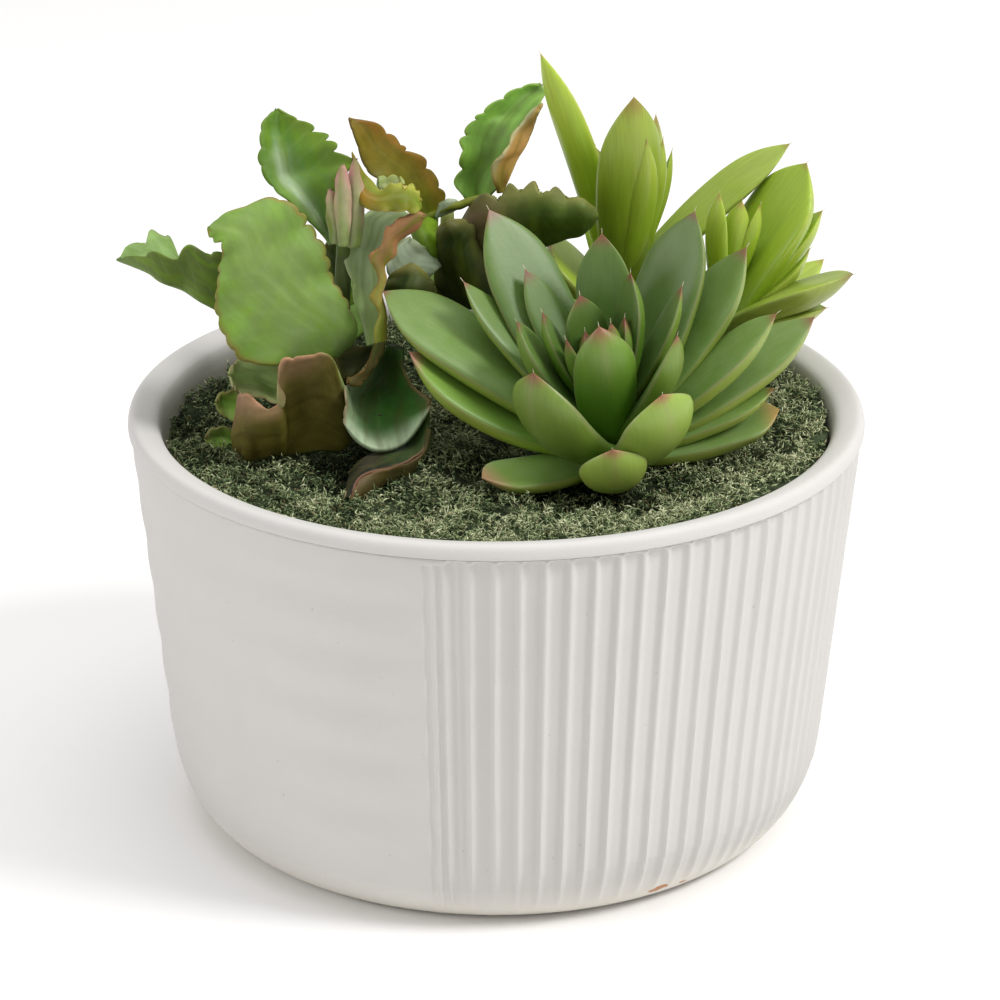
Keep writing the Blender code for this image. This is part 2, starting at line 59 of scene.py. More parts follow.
def grid(*values):
    # numbers and arrays spread over one grid, side by side in a last axis
    return np.stack(np.broadcast_arrays(*values), -1)


def unit(vectors):
    return vectors / np.maximum(np.linalg.norm(vectors, axis=-1, keepdims=True), 1e-9)


def spline(points, at, *row):
    # a Catmull-Rom curve along the first axis of points, read at the places 0 to 1 in at
    points = np.asarray(points, float)
    ends = np.concatenate([2 * points[:1] - points[1:2], points, 2 * points[-1:] - points[-2:-1]])
    where = np.clip(at, 0, 1) * (len(points) - 1)
    k = np.minimum(where.astype(int), len(points) - 2)
    a, b, c, d = (ends[(k + i, *row)] for i in range(4))
    t = (where - k).reshape(*k.shape, *[1] * (a.ndim - k.ndim))
    return 0.5 * (2 * b + (c - a) * t + (2 * a - 5 * b + 4 * c - d) * t**2 + (3 * b - a - 3 * c + d) * t**3)


def smoothLine(points, step):
    # the curve through the points, sampled about every step mm and at each point
    points = np.array(points, float)
    counts = np.maximum(2, np.round(np.linalg.norm(np.diff(points, axis=0), axis=1) / step).astype(int))
    at = np.concatenate([k + np.arange(count) / count for k, count in enumerate(counts)] + [[len(counts)]])
    return spline(points, at / len(counts))


def ringFaces(rows, columns):
    # quads between neighbouring rings of points, and triangles from the first and the last ring to the
    # two points that come after all the rings
    ring = np.arange(columns)
    after = (ring + 1) % columns
    row = np.arange(rows - 1)[:, None] * columns
    last, count = (rows - 1) * columns, rows * columns
    quads = grid(row + ring, row + after, row + columns + after, row + columns + ring).reshape(-1, 4)
    return quads, np.vstack([grid(after, ring, count), grid(ring + last, after + last, count + 1)])


def hexColour(code):
    # sRGB to linear: c / 12.92 where c is at most 0.04045, otherwise ((c + 0.055) / 1.055)^2.4
    value = np.array([int(code[i:i + 2], 16) for i in (1, 3, 5)]) / 255.0
    return np.where(value <= 0.04045, value / 12.92, ((value + 0.055) / 1.055) ** 2.4)


def addNode(tree, kind, inputs=(), output=None, **settings):
    # one node with its settings, and each input linked to a socket or set to a number or a colour;
    # gives back the named output, or else the first one in use
    node = tree.nodes.new("ShaderNode" + kind)
    for key, value in settings.items():
        setattr(node, key, value)
    for key, value in inputs.items() if isinstance(inputs, dict) else enumerate(inputs):
        if isinstance(value, bpy.types.NodeSocket):
            tree.links.new(value, node.inputs[key])
        else:
            node.inputs[key].default_value = (*hexColour(value), 1.0) if isinstance(value, str) else value
    return node.outputs[output] if output else next(socket for socket in node.outputs if socket.enabled)


def addObject(name, data, place=(0.0, 0.0, 0.0), turn=(0.0, 0.0, 0.0)):
    made = bpy.data.objects.new(name, data)
    made.location = place
    made.rotation_euler = turn
    bpy.context.scene.collection.objects.link(made)
    return made


def makePiece(name, parts, material, node, slot, smoothAngle=None):
    # parts of points, quads, triangles, paint and place as one mesh, with each part's numbers moved on
    starts = np.cumsum([0] + [len(part[0]) for part in parts])
    points, paint, place = (np.concatenate([part[k] for part in parts]) for k in (0, 3, 4))
    quads, triangles = (np.concatenate([part[k] + start for part, start in zip(parts, starts)])
                        for k in (1, 2))
    mesh = bpy.data.meshes.new(name)
    mesh.vertices.add(len(points))
    mesh.vertices.foreach_set("co", (points * mm).astype(np.float32).ravel())
    corners = np.concatenate([quads.ravel(), triangles.ravel()]).astype(np.int32)
    sizes = np.repeat([4, 3], [len(quads), len(triangles)])
    mesh.loops.add(len(corners))
    mesh.loops.foreach_set("vertex_index", corners)
    mesh.polygons.add(len(sizes))
    mesh.polygons.foreach_set("loop_start", (np.cumsum(sizes) - sizes).astype(np.int32))
    mesh.update(calc_edges=True)
    for label, values in (("paint", paint), ("place", place)):
        layer = mesh.attributes.new(label, "FLOAT_COLOR", "POINT")
        layer.data.foreach_set("color", values.astype(np.float32).ravel())
    mesh.shade_smooth()
    if smoothAngle is not None:
        mesh.set_sharp_from_angle(angle=math.radians(smoothAngle))
    mesh.materials.append(material)
    piece = addObject(name, mesh)
    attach(piece, "root")
    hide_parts(node)
    print(name, len(quads) * 2 + len(triangles), "triangles")


# Materials


def startMaterial(name, values, patterns=()):
    # a material with its place on the object, and noises, each given by a size in mm and a detail
    made = bpy.data.materials.new(name)
    made.use_nodes = True
    tree = made.node_tree
    for key, value in values.items():
        tree.nodes["Principled BSDF"].inputs[key].default_value = value
    spot = addNode(tree, "TexCoord", output="Object")
    noises = [addNode(tree, "TexNoise", {"Vector": spot, "Scale": 1 / (size * mm), "Detail": detail})
              for size, detail in patterns]
    return made, tree, spot, noises


def finishMaterial(made, colour, layers, relief=None, strength=0.0, deep=0.0, rough=None):
    # the colour under its layers, each a share, a colour and how it is mixed, and a bump deep mm high
    tree = made.node_tree
    for share, over, *how in layers:
        colour = addNode(tree, "Mix", {0: share, 6: colour, 7: over}, data_type="RGBA",
                         blend_type=how[0] if how else "MIX")
    bump = relief and addNode(tree, "Bump", {"Height": relief, "Strength": strength, "Distance": deep * mm})
    for key, socket in (("Base Color", colour), ("Normal", bump), ("Roughness", rough)):
        if socket:
            tree.links.new(socket, tree.nodes["Principled BSDF"].inputs[key])
    return made


def leafMaps(tree, streakStep):
    # a leaf's own colour, its bloom, its place, and streaks along it, streakStep times closer than 1 mm
    paint, alpha, place = [addNode(tree, "Attribute", output=output, attribute_name=label)
                           for label, output in (("paint", "Color"), ("paint", "Alpha"), ("place", "Vector"))]
    streakSpot = addNode(tree, "VectorMath", (place, (*streakStep, 1.0)), operation="MULTIPLY")
    streaks = addNode(tree, "TexNoise", {"Vector": streakSpot, "Scale": 1.0, "Detail": 3.0})
    return paint, alpha, place, streaks


def earthenwareMaterial(look):
    # slip cast earthenware under matt white slip: soft, chalky, with faint clouds and a brushed grain,
    # a yellowish foot lightened towards the floor by painted bounce light, bare clay in its chips, and
    # painted shade that darkens the inside wall below the lip
    made, tree, spot, (clouds, specks, ragged, grain) = startMaterial(
        "matt white slip on earthenware", {"Roughness": 0.62, "IOR": 1.5},
        [(look["cloudSize"], 3.0), (look["speckSize"], 1.0), (1.6, 2.0), (look["grainSize"], 4.0)])
    height = addNode(tree, "SeparateXYZ", (spot,), "Z")
    # towards the floor the foot colour comes in: a yellowish tone and painted bounce light
    foot = addNode(tree, "MapRange", (height, look["footTop"] * mm, 0.0, 0.0, 0.75))
    speckMask = addNode(tree, "MapRange", (specks, 0.76, 0.82, 0.0, 0.5))
    layers = [(clouds, look["slipShade"]), (foot, look["foot"]), (speckMask, look["speck"])]
    for place, size in look["chips"]:
        off = addNode(tree, "VectorMath", (spot, place), operation="SUBTRACT")
        flat = addNode(tree, "VectorMath", (off, (1.0, 1.0, 2.2)), operation="MULTIPLY")
        far = addNode(tree, "VectorMath", (flat,), operation="LENGTH")
        wobble = addNode(tree, "Math", (ragged, 0.8 * size, far), operation="MULTIPLY_ADD")
        layers.append((addNode(tree, "MapRange", (wobble, 1.35 * size, 1.15 * size, 0.0, 1.0)), look["clay"]))
    # painted shade: the inside wall below the lip is darkened towards a grey brown
    insideShaded = addNode(tree, "Attribute", output="Fac", attribute_name="paint")
    layers.append((addNode(tree, "Math", (insideShaded, 0.7), operation="MULTIPLY"), look["insideShade"]))
    return finishMaterial(made, look["slip"], layers, grain, 0.22, 0.25)


soilLook = {"dark": "#1d150f", "bark": "#4a3828", "crumbSize": 2.4}


def soilMaterial():
    # peat and bark potting mix, damp: nearly black, crumbly, with no shine
    made, tree, spot, noises = startMaterial("damp potting mix", {"Roughness": 0.95})
    crumbs = addNode(tree, "TexVoronoi", {"Vector": spot, "Scale": 1 / (soilLook["crumbSize"] * mm)})
    return finishMaterial(made, soilLook["dark"], [(crumbs, soilLook["bark"])], crumbs, 0.8, 1.0)


def mossMaterial(name, roughness):
    # preserved moss, dyed and dried: matt fibres, each its own grey green, in deep shade between
    made, tree, spot, (flecks,) = startMaterial(
        name, {"Roughness": roughness, "IOR": 1.4, "Specular IOR Level": 0.25}, [(1.1, 2.0)])
    paint = addNode(tree, "Attribute", output="Color", attribute_name="paint")
    shade = addNode(tree, "MapRange", (flecks, 0.3, 0.7, 0.72, 1.18))
    return finishMaterial(made, paint, [(1.0, shade, "MULTIPLY")])


def fleshyMaterial(name, look):
    # living leaf under a waxy cuticle: satin gloss, light glowing a little way in, a powdery bloom that
    # pales the upper face in clouds and dulls its shine, and streaks 0.5 mm apart and many mm long
    made, tree, spot, (clouds, flecks, skin) = startMaterial(name, {
        "IOR": 1.45, "Subsurface Weight": look["glow"], "Subsurface Radius": (0.6, 1.0, 0.25),
        "Subsurface Scale": 2.2 * mm, "Coat Weight": 0.06, "Coat Roughness": 0.3,
    }, [(look["cloudSize"], 4.0), (0.7, 1.0), (0.9, 3.0)])
    paint, alpha, place, streaks = leafMaps(tree, (2.2, 0.12))
    cloudShare = addNode(tree, "MapRange", (clouds, 0.3, 0.72, 0.35, 1.0))
    bloom = addNode(tree, "Math", (alpha, cloudShare), operation="MULTIPLY")
    streakShade = addNode(tree, "MapRange", (streaks, 0.25, 0.75, 1 - look["streaks"], 1 + look["streaks"]))
    fleckMask = addNode(tree, "MapRange", (flecks, 0.79, 0.84, 0.0, 0.5))
    rough = addNode(tree, "MapRange", (bloom, 0.0, 1.0, look["gloss"], 0.6))
    layers = [(bloom, look["bloom"]), (1.0, streakShade, "MULTIPLY"), (fleckMask, look["fleck"])]
    return finishMaterial(made, paint, layers, skin, 0.12, 0.2, rough)


def toothedMaterial(name, look):
    # thin living leaf with a satin cuticle: light comes through it, pale and warm streaks 2 to 3 mm wide
    # and some 15 mm long fan out from its foot, faint side veins slant out 5 to 6 mm apart, and the skin
    # is softly puckered
    made, tree, spot, (wander, clouds, pucker) = startMaterial(name, {
        "IOR": 1.45, "Roughness": look["gloss"], "Specular IOR Level": 0.3, "Subsurface Weight": 0.16,
        "Subsurface Radius": (0.7, 1.0, 0.25), "Subsurface Scale": 1.4 * mm,
    }, [(7.0, 1.0), (5.0, 4.0), (2.6, 3.0)])
    paint, alpha, place, streaks = leafMaps(tree, (0.42, 0.07))
    across, along = (addNode(tree, "SeparateXYZ", (place,), axis) for axis in "XY")
    out = addNode(tree, "Math", (across,), operation="ABSOLUTE")
    slant = addNode(tree, "Math", (out, -0.75, along), operation="MULTIPLY_ADD")
    bent = addNode(tree, "Math", (wander, 3.0, slant), operation="MULTIPLY_ADD")
    beat = addNode(tree, "Math", (bent, 2.8), operation="PINGPONG")
    vein = addNode(tree, "MapRange", (beat, 0.0, 1.1, 0.7, 0.0))
    midrib = addNode(tree, "MapRange", (out, 0.25, 0.9, 1.0, 0.0))
    lines = addNode(tree, "Math", (vein, midrib), operation="MAXIMUM")
    veinShare = addNode(tree, "Math", (lines, look["veins"]), operation="MULTIPLY")
    warmth = addNode(tree, "MapRange", (streaks, 0.45, 0.7, 0.0, look["warmth"]))
    both = addNode(tree, "Math", (streaks, clouds), operation="ADD")
    shade = addNode(tree, "MapRange", (both, 0.65, 1.35, 1.3, 0.7))
    bloom = addNode(tree, "Math", (alpha, clouds), operation="MULTIPLY")
    relief = addNode(tree, "Math", (lines, -0.12, pucker), operation="MULTIPLY_ADD")
    layers = [(veinShare, look["veinColour"]), (warmth, look["warm"]), (1.0, shade, "MULTIPLY"),
              (bloom, look["bloom"])]
    return finishMaterial(made, paint, layers, relief, 0.35, 0.4)


# Camera, light and floor

studio = {
    "cameraPlace": (0.0009, -0.92388, 0.46018), "cameraPitch": 67.5, "lens": 147.5,
    "world": 0.5, "floorColour": "#f6f5f4", "floorHalf": 4.0, "floorHeight": -0.0003,
    "lamps": [
        # name, place, aimed at, size, watts
        ("key", (1.05, -0.4, 1.15), (0.0, 0.0, 0.08), 0.5, 15.0),
        ("top", (0.1, 0.1, 2.2), (0.0, 0.1, 0.0), 2.2, 23.5),
        ("fill", (-1.2, -0.3, 0.6), (0.0, 0.0, 0.1), 0.6, 3.5),
    ],
}


def makeStudio():
    scene = bpy.context.scene
    camera = bpy.data.cameras.new("photo camera")
    camera.lens = studio["lens"]
    camera.sensor_width = 36.0
    camera.clip_end = 20.0
    pitch = math.radians(studio["cameraPitch"])
    scene.camera = addObject("photo camera", camera, studio["cameraPlace"], (pitch, 0.0, 0.0))
    for name, place, target, size, watts in studio["lamps"]:
        lamp = bpy.data.lights.new(name, "AREA")
        lamp.shape = "DISK"
        lamp.size = size
        lamp.energy = watts
        x, y, z = np.subtract(target, place)
        addObject(name, lamp, place, (math.atan2(math.hypot(x, y), -z), 0.0, math.atan2(-x, y)))
    world = bpy.data.worlds.new("pale studio")
    world.use_nodes = True
    world.node_tree.nodes["Background"].inputs["Color"].default_value = (1.0, 1.0, 1.0, 1.0)
    world.node_tree.nodes["Background"].inputs["Strength"].default_value = studio["world"]
    scene.world = world
    # the photo's plain contrast: colours come out as their sRGB values
    scene.view_settings.view_transform = "Standard"
    # painted board, matt: pale and even, it only takes a soft contact shadow
    colour = (*hexColour(studio["floorColour"]), 1.0)
    board = startMaterial("painted board", {"Roughness": 0.9, "Base Color": colour})[0]
    mesh = bpy.data.meshes.new("studio floor")
    half, height = studio["floorHalf"], studio["floorHeight"]
    corners = ((-half, -half), (half, -half), (half, half), (-half, half))
    mesh.from_pydata([(x, y, height) for x, y in corners], [], [(0, 1, 2, 3)])
    mesh.materials.append(board)
    addObject("studio_floor", mesh)
    print("studio ready")


# Bowl. Profile points are radius and height; each flute is 3.75 degrees of the rim

bowl = {
    "floorTop": 9.0,
    "inside": [(66.0, 9.0), (73.0, 22.0), (78.6, 84.0), (80.6, 96.0)],
    "lip": [(81.3, 99.6), (81.9, 100.9), (83.0, 101.8), (84.6, 102.4), (86.2, 102.8), (87.3, 102.9),
            (88.1, 102.6), (88.7, 101.8), (89.0, 100.6)],
    "band": [(89.0, 99.9), (88.9, 99.62), (88.6, 99.5), (88.1, 99.45)],
    "outside": [(87.95, 99.2), (88.15, 98.5), (87.85, 93.4), (84.6, 62.0), (80.4, 21.0), (79.2, 14.5),
                (77.4, 9.5), (75.5, 6.0), (73.2, 3.2), (71.0, 1.3), (69.2, 0.3), (68.0, 0.0)],
    "flutePitch": 3.75, "fluteCount": 48, "firstFlute": -5.8, "fluteDepth": 1.05,
    "fluteColumns": 12, "plainColumns": 96, "cornerColumns": 26,
    # the first few are narrower and shallower: middle, half width and depth share
    "narrowFlutes": ((-10.2, 0.85, 0.40), (-8.45, 0.75, 0.55)), "splitFlute": (-5.75, 0.35),
    "fluteTop": 99.0, "fluteFade": (2.2, 9.0),
    "look": {
        # the foot is lighter than the slip: a yellowish foot with painted bounce light from the floor
        "slip": "#cecbc8", "slipShade": "#c8c5c1", "foot": "#eee8da", "footTop": 11.0, "speck": "#b7a893",
        "clay": "#b5805a", "cloudSize": 26.0, "speckSize": 1.4, "grainSize": 0.7,
        "chips": [((0.0378, -0.0639, 0.0041), 0.0024), ((0.0392, -0.0631, 0.0043), 0.0023),
                  ((0.0447, -0.0593, 0.0036), 0.0013)],
        # painted shade on the inside wall: its colour, and the height in mm where it has faded out
        "insideShade": "#6b6550", "insideShadeTop": 101.2,
    },
}


def fluteDepth(turn, height):
    # depth of the flutes below the plain wall: flat bottomed, 1 - ease(u, 0.42, 1) across half a flute,
    # square at the top end and fading out over the foot
    where = (turn - bowl["firstFlute"]) / bowl["flutePitch"]
    nearest = np.clip(np.round(where), 0, bowl["fluteCount"] - 1)
    across = np.abs(where - nearest) * 2.0
    split, size = bowl["splitFlute"]
    valley = (1.0 - ease(across, 0.42, 1.0)) * (1.0 - size * np.exp(-(((turn - split) / 0.45) ** 2)))
    for middle, half, size in bowl["narrowFlutes"]:
        valley = np.maximum(valley, size * (1.0 - ease(np.abs(turn - middle) / half, 0.35, 1.0)))
    opened = ease(bowl["fluteTop"] - 1.1 * np.clip(across, 0, 1) ** 3 - height, 0.0, 0.45)
    uneven = 1.0 + 0.07 * np.sin(nearest * 2.4) + 0.05 * np.sin(nearest * 5.1 + height / 19.0)
    return bowl["fluteDepth"] * valley * opened * ease(height, *bowl["fluteFade"]) * uneven


def makeBowl():
    # a turned profile: columns close together over the flutes and wide apart over the plain wall
    start = bowl["firstFlute"] - bowl["flutePitch"] / 2
    flutes, pitch, per = bowl["fluteCount"], bowl["flutePitch"], bowl["fluteColumns"]
    plainTurn = np.linspace(start + flutes * pitch, start + 360.0 - 4.4, bowl["plainColumns"]) - 360.0
    turn = np.concatenate([plainTurn, np.linspace(start - 4.0, start - 0.2, bowl["cornerColumns"]),
                           start + np.arange(flutes * per) * pitch / per])[None]
    inside = smoothLine(bowl["inside"] + bowl["lip"][:1], 6.0)[:-1]
    lip = smoothLine(bowl["lip"] + bowl["band"] + bowl["outside"][:1], 0.4)
    # rows 0.25 mm apart where the flutes open under the band, and wider apart below
    near = smoothLine(bowl["outside"][:3], 0.25)[1:18]
    below = smoothLine(bowl["outside"][1:], 2.0)[1:]
    line = np.vstack([inside, lip, near, below[below[:, 1] < near[-1, 1] - 1.0]])
    radius, height = line[:, :1], line[:, 1:]
    past = np.arange(len(line))[:, None] > np.argmax(line[:, 1])
    angle = np.radians(turn)
    plain = 1.0 - ease(turn, -13.0, -9.0) * (1.0 - ease(turn, 173.0, 177.0))
    # throwing rings: shallow waves up the plain wall, deepest beside the flutes, which wander a little
    deepest = np.exp(-((turn + 14.0) / 30.0)**2)
    rings = (0.16 + 0.24 * deepest) * np.sin(height / 2.21 + 3.46 + 0.4 * np.sin(angle))
    rings = rings * (0.15 + 0.85 * plain) * ease(height, 4.0, 14.0) * (1.0 - ease(height, 88.0, 96.0))
    drift = 0.22 * np.sin(2 * angle + 0.7) * ease(height, 20.0, 100.0)
    outer = ease(99.6 - height, 0.0, 0.3) * past
    radius = radius + outer * (rings - fluteDepth(turn, height)) + drift
    height = height + 0.12 * np.sin(3 * angle + 1.0) * ease(height, 96.0, 103.0)
    points = grid(radius * np.sin(angle), -radius * np.cos(angle), height)
    quads, triangles = ringFaces(*points.shape[:2])
    points = np.vstack([points.reshape(-1, 3), (0.0, 0.0, bowl["floorTop"]), (0.0, 0.0, 0.0)])
    # the share of painted shade that darkens the inside wall, fading out up the lip
    insideShade = np.append(~past * (1.0 - ease(height, 95.0, bowl["look"]["insideShadeTop"])), [0.0, 0.0])
    paint = insideShade[:, None] * np.ones(4)
    makePiece("earthenware_bowl", [(points, quads[:, ::-1], triangles[:, ::-1], paint, paint)],
              earthenwareMaterial(bowl["look"]), "bowl", "white_earthenware", 50.0)


# Soil and moss

moss = {
    "level": 93.0, "edge": 80.2, "bottom": 88.35, "dome": 2.4, "sink": 0.9,
    "bank": (52.0, 80.0, 6.4, 85.0),    # from radius, to radius, height, turn where it is highest
    # x, y, width and depth
    "dents": ((9.0, -31.0, 15.0, 2.4), (28.0, -38.0, 12.0, 3.6), (-35.0, -16.0, 9.0, 5.5),
              (-44.0, 6.0, 16.0, 2.4), (-34.0, -33.0, 9.0, 4.0)),
    # the mat runs from its dark colour, painted shade in dents and between clumps, to its light one on clump
    # tops
    "deepest": 4.6, "matRings": 44, "matColumns": 180, "matColours": ("#20261a", "#465238"),
    "strandColours": ("#3c4a30", "#74855a", "#a8b486", "#d4d6ae"), "brown": "#8a7250",
    "pieces": 5, "mains": 1660, "twigs": 5, "seed": 11, "points": 6, "twigPoints": 3,
    "length": (3.0, 6.2), "branchLength": (1.3, 3.0), "radius": (0.14, 0.21), "twigRadius": (0.17, 0.27),
    "climb": (0.1, 1.0), "droop": (0.3, 2.0), "veer": 1.8, "curl": 1.5,
}


def mossHeight(x, y):
    # level + lumps of two sines + a low dome + a bank against the wall, pressed down at each dent by a bell
    lumps = 0.9 * np.sin(x / 9.0 + 0.6) * np.cos(y / 8.0) + 0.7 * np.sin(x / 5.1 - y / 6.3 + 1.0)
    away = np.hypot(x, y)
    start, end, bank, turn = moss["bank"]
    facing = 0.5 + 0.5 * np.cos(np.arctan2(x, -y) - math.radians(turn))
    height = moss["level"] + lumps + moss["dome"] * (1.0 - (away / moss["edge"]) ** 2)
    return height + bank * ease(away, start, end) * facing - moss["deepest"] * mossDent(x, y)


def mossDent(x, y):
    # 0 to 1 towards the middle of a dent, where the mat is sunk and darkest with painted shade
    bells = [deep * np.exp(-((x - cx) ** 2 + (y - cy) ** 2) / wide**2)
             for cx, cy, wide, deep in moss["dents"]]
    return np.clip(np.sum(bells, axis=0) / moss["deepest"], 0, 1)


def mossClump(x, y):
    # -1 to 1 over clumps about 8 mm wide, which both the mat and the strands follow
    return 0.5 * np.sin(x / 2.7 + 1.7 * np.sin(y / 6.1)) + 0.5 * np.sin(y / 2.3 + 1.9 * np.sin(x / 5.3 + 1.0))


def makeMossMat(material):
    away = moss["edge"] * np.linspace(0.0, 1.0, moss["matRings"] + 1)[1:, None] ** 0.8
    angle = np.linspace(0, 2 * np.pi, moss["matColumns"], endpoint=False)[None]
    x, y = away * np.sin(angle), -away * np.cos(angle)
    surface = np.maximum(mossHeight(x, y) + 0.7 * mossClump(x, y) - moss["sink"], moss["bottom"] + 0.4)
    top = grid(x, y, surface)
    rings = np.vstack([top, top[-1:] * (0.985, 0.985, 0) + (0, 0, moss["bottom"])])
    middle = mossHeight(0, 0) - moss["sink"]
    points = np.vstack([rings.reshape(-1, 3), (0, 0, middle), (0, 0, moss["bottom"])])
    x, y = points[:, 0], points[:, 1]
    low, high = (hexColour(code) for code in moss["matColours"])
    # painted shade: darker between clumps and darkest in the dents
    colour = blend(low, high, (0.5 + 0.5 * mossClump(x, y)) * (1 - 0.9 * mossDent(x, y)))
    paint = grid(*colour.T, 1.0)
    part = (points, *ringFaces(*rings.shape[:2]), paint, paint * 0)
    makePiece("moss_mat", [part], material, "moss", "moss")


def strandPaths(start, heading, climb, droop, length, points, draw):
    # a strand climbs at an angle, droops as t^2, and wriggles by a sine to both sides
    t = np.linspace(0, 1, points)[None]
    many = len(start)
    phase, beat = draw.uniform(0, 6.28, (many, 1)), draw.uniform(4.0, 9.0, (many, 1))
    way = heading + draw.normal(0, moss["veer"], (many, 1)) * t + moss["curl"] * np.sin(beat * t + phase)
    rise = climb - droop * t + 0.5 * np.sin(beat * t + 2.0 * phase)
    ahead = grid(np.cos(rise) * np.cos(way), np.cos(rise) * np.sin(way), np.sin(rise))
    ahead = ahead * (length / (points - 1))[..., None]
    path = start[:, None] + np.concatenate([np.zeros((many, 1, 3)), np.cumsum(ahead[:, :-1], axis=1)], 1)
    # strands stay inside the wall and out of the mat
    far = np.hypot(path[..., 0], path[..., 1])
    inward = np.minimum(1.0, (moss["edge"] + 0.8) / np.maximum(far, 1e-6))
    x, y = path[..., 0] * inward, path[..., 1] * inward
    return grid(x, y, np.maximum(path[..., 2], mossHeight(x, y) - 1.8)), way, rise


def strandTubes(path, clump, radius, draw):
    # a three sided tube round each path, thinner by 0.3 t^2, with its ends drawn to a point
    count, along = path.shape[:2]
    ahead = unit(np.gradient(path, axis=1))
    side = unit(np.cross(ahead, (0.12, 0.07, 1.0)))
    up = np.cross(side, ahead)
    thick = draw.uniform(*radius, (count, 1)) * (1.0 - 0.3 * np.linspace(0, 1, along)[None]**2)
    angle = np.arange(3)[:, None] * 2 * np.pi / 3
    ring = side[:, 1:-1, None] * np.cos(angle) + up[:, 1:-1, None] * np.sin(angle)
    body = path[:, 1:-1, None] + ring * thick[:, 1:-1, None, None]
    points = np.concatenate([body.reshape(count, -1, 3), path[:, :1], path[:, -1:]], 1)
    each = points.shape[1]
    move = (np.arange(count) * each)[:, None, None]
    quads, triangles = ((faces + move).reshape(-1, faces.shape[1]) for faces in ringFaces(along - 2, 3))
    # painted light and shade: strands are paler the higher they stand above the mat and on clump tops,
    # darker in the dents, and lighter towards the right and the front, where the light comes from; their
    # tone also varies at random, and a few are brown
    x, y, z = np.moveaxis(points, -1, 0)
    tone = 0.25 + 0.14 * (z - mossHeight(x, y)) + 0.12 * clump[:, None] + 0.2 * draw.normal(0, 1, (count, 1))
    tone = np.clip(tone - 0.55 * mossDent(x, y) + 0.0022 * (x - y), 0, 1) * 2.999
    tones = np.array([hexColour(code) for code in moss["strandColours"]])
    step = np.minimum(tone.astype(int), 2)
    colour = blend(tones[step], tones[step + 1], tone - step)
    colour = blend(colour, hexColour(moss["brown"]), 0.6 * (draw.uniform(0, 1, (count, 1)) < 0.06))
    paint = grid(*np.moveaxis(colour, -1, 0), 1.0).reshape(-1, 4)
    return points.reshape(-1, 3), quads, triangles, paint, paint * 0


def makeStrands(index, material):
    # tiny shrubs: main strands leave the mat, and twigs leave them along their outer part, to either side
    draw = np.random.default_rng(moss["seed"] + index)
    mains, twigs = moss["mains"], moss["mains"] * moss["twigs"]
    span = lambda key, many: draw.uniform(*moss[key], (many, 1))
    away, angle = draw.uniform(0, 1, (mains, 2)).T
    away, angle = (moss["edge"] - 0.3) * np.sqrt(away), 2 * np.pi * angle
    x, y = away * np.sin(angle), -away * np.cos(angle)
    clump = mossClump(x, y)
    z = mossHeight(x, y) + clump - 0.9 + 0.9 * draw.uniform(0, 1, mains)
    main, way, rise = strandPaths(grid(x, y, z), draw.uniform(0, 6.28, (mains, 1)), span("climb", mains),
                                  span("droop", mains), span("length", mains), moss["points"], draw)
    parent = np.repeat(np.arange(mains), moss["twigs"])
    node = draw.integers(1, moss["points"] - 1, twigs)
    side = np.where(draw.uniform(0, 1, (twigs, 1)) < 0.5, -1.0, 1.0) * draw.uniform(0.6, 1.5, (twigs, 1))
    climb = rise[parent, node][:, None] * 0.5 + draw.uniform(-0.1, 0.9, (twigs, 1))
    droop = draw.uniform(0.0, 1.2, (twigs, 1))
    branch = strandPaths(main[parent, node], way[parent, node][:, None] + side, climb, droop,
                         span("branchLength", twigs), moss["twigPoints"], draw)[0]
    parts = [strandTubes(main, clump, moss["radius"], draw),
             strandTubes(branch, clump[parent], moss["twigRadius"], draw)]
    makePiece(f"moss_strands_{index + 1}", parts, material, "moss", "moss")


# Fleshy heads

# rows of points along a leaf, points round it and round a stem, and the height where stems start
leafRows, leafSides, stemSides = 30, 28, 20
stemStart = 74.35
headStemColour = "#7a8a4a"


def leafLine(base, turn, rise, length, shares, bend=0.0, roll=0.0, axes=np.eye(3)):
    # an arc of the given length, whose rise grows by bend from base to tip; turn 0 is to the front and
    # 90 to the right, roll lifts the right side, and axes lean the whole head
    heading, tilt = math.radians(turn), math.radians(roll)
    flat = np.array([math.sin(heading), -math.cos(heading), 0.0])
    side = np.array([math.cos(heading), math.sin(heading), 0.0])

    def direction(at):
        up = np.radians(rise + bend * (at - 0.5))[:, None]
        return np.cos(up) * flat + np.sin(up) * (0.0, 0.0, 1.0)

    fine = np.linspace(0.0, 1.0, 61)
    walked = np.vstack([[0, 0, 0], np.cumsum(direction((fine[1:] + fine[:-1]) / 2), axis=0)]) * length / 60
    ahead = direction(np.minimum(shares, 1.0))
    path = grid(*(np.interp(shares, fine, walked[:, k]) for k in range(3)))
    path = path + ahead * (np.maximum(shares - 1.0, 0.0) * length)[:, None]
    face = np.cross(ahead, side)
    right = side * math.cos(tilt) + face * math.sin(tilt)
    upper = face * math.cos(tilt) - side * math.sin(tilt)
    return path @ axes.T + base, right @ axes.T, upper @ axes.T


def fleshyProfile(share, widest, root, power):
    # from root to 1 by sin^power, then to nothing by cos of the rest to the power 1.7
    swell = root + (1 - root) * np.sin(np.pi / 2 * np.clip(share / widest, 0, 1)) ** power
    point = np.cos(np.pi / 2 * np.clip((share - widest) / (1 - widest), 0, 1) ** 1.7)
    return np.where(share < widest, swell, point)


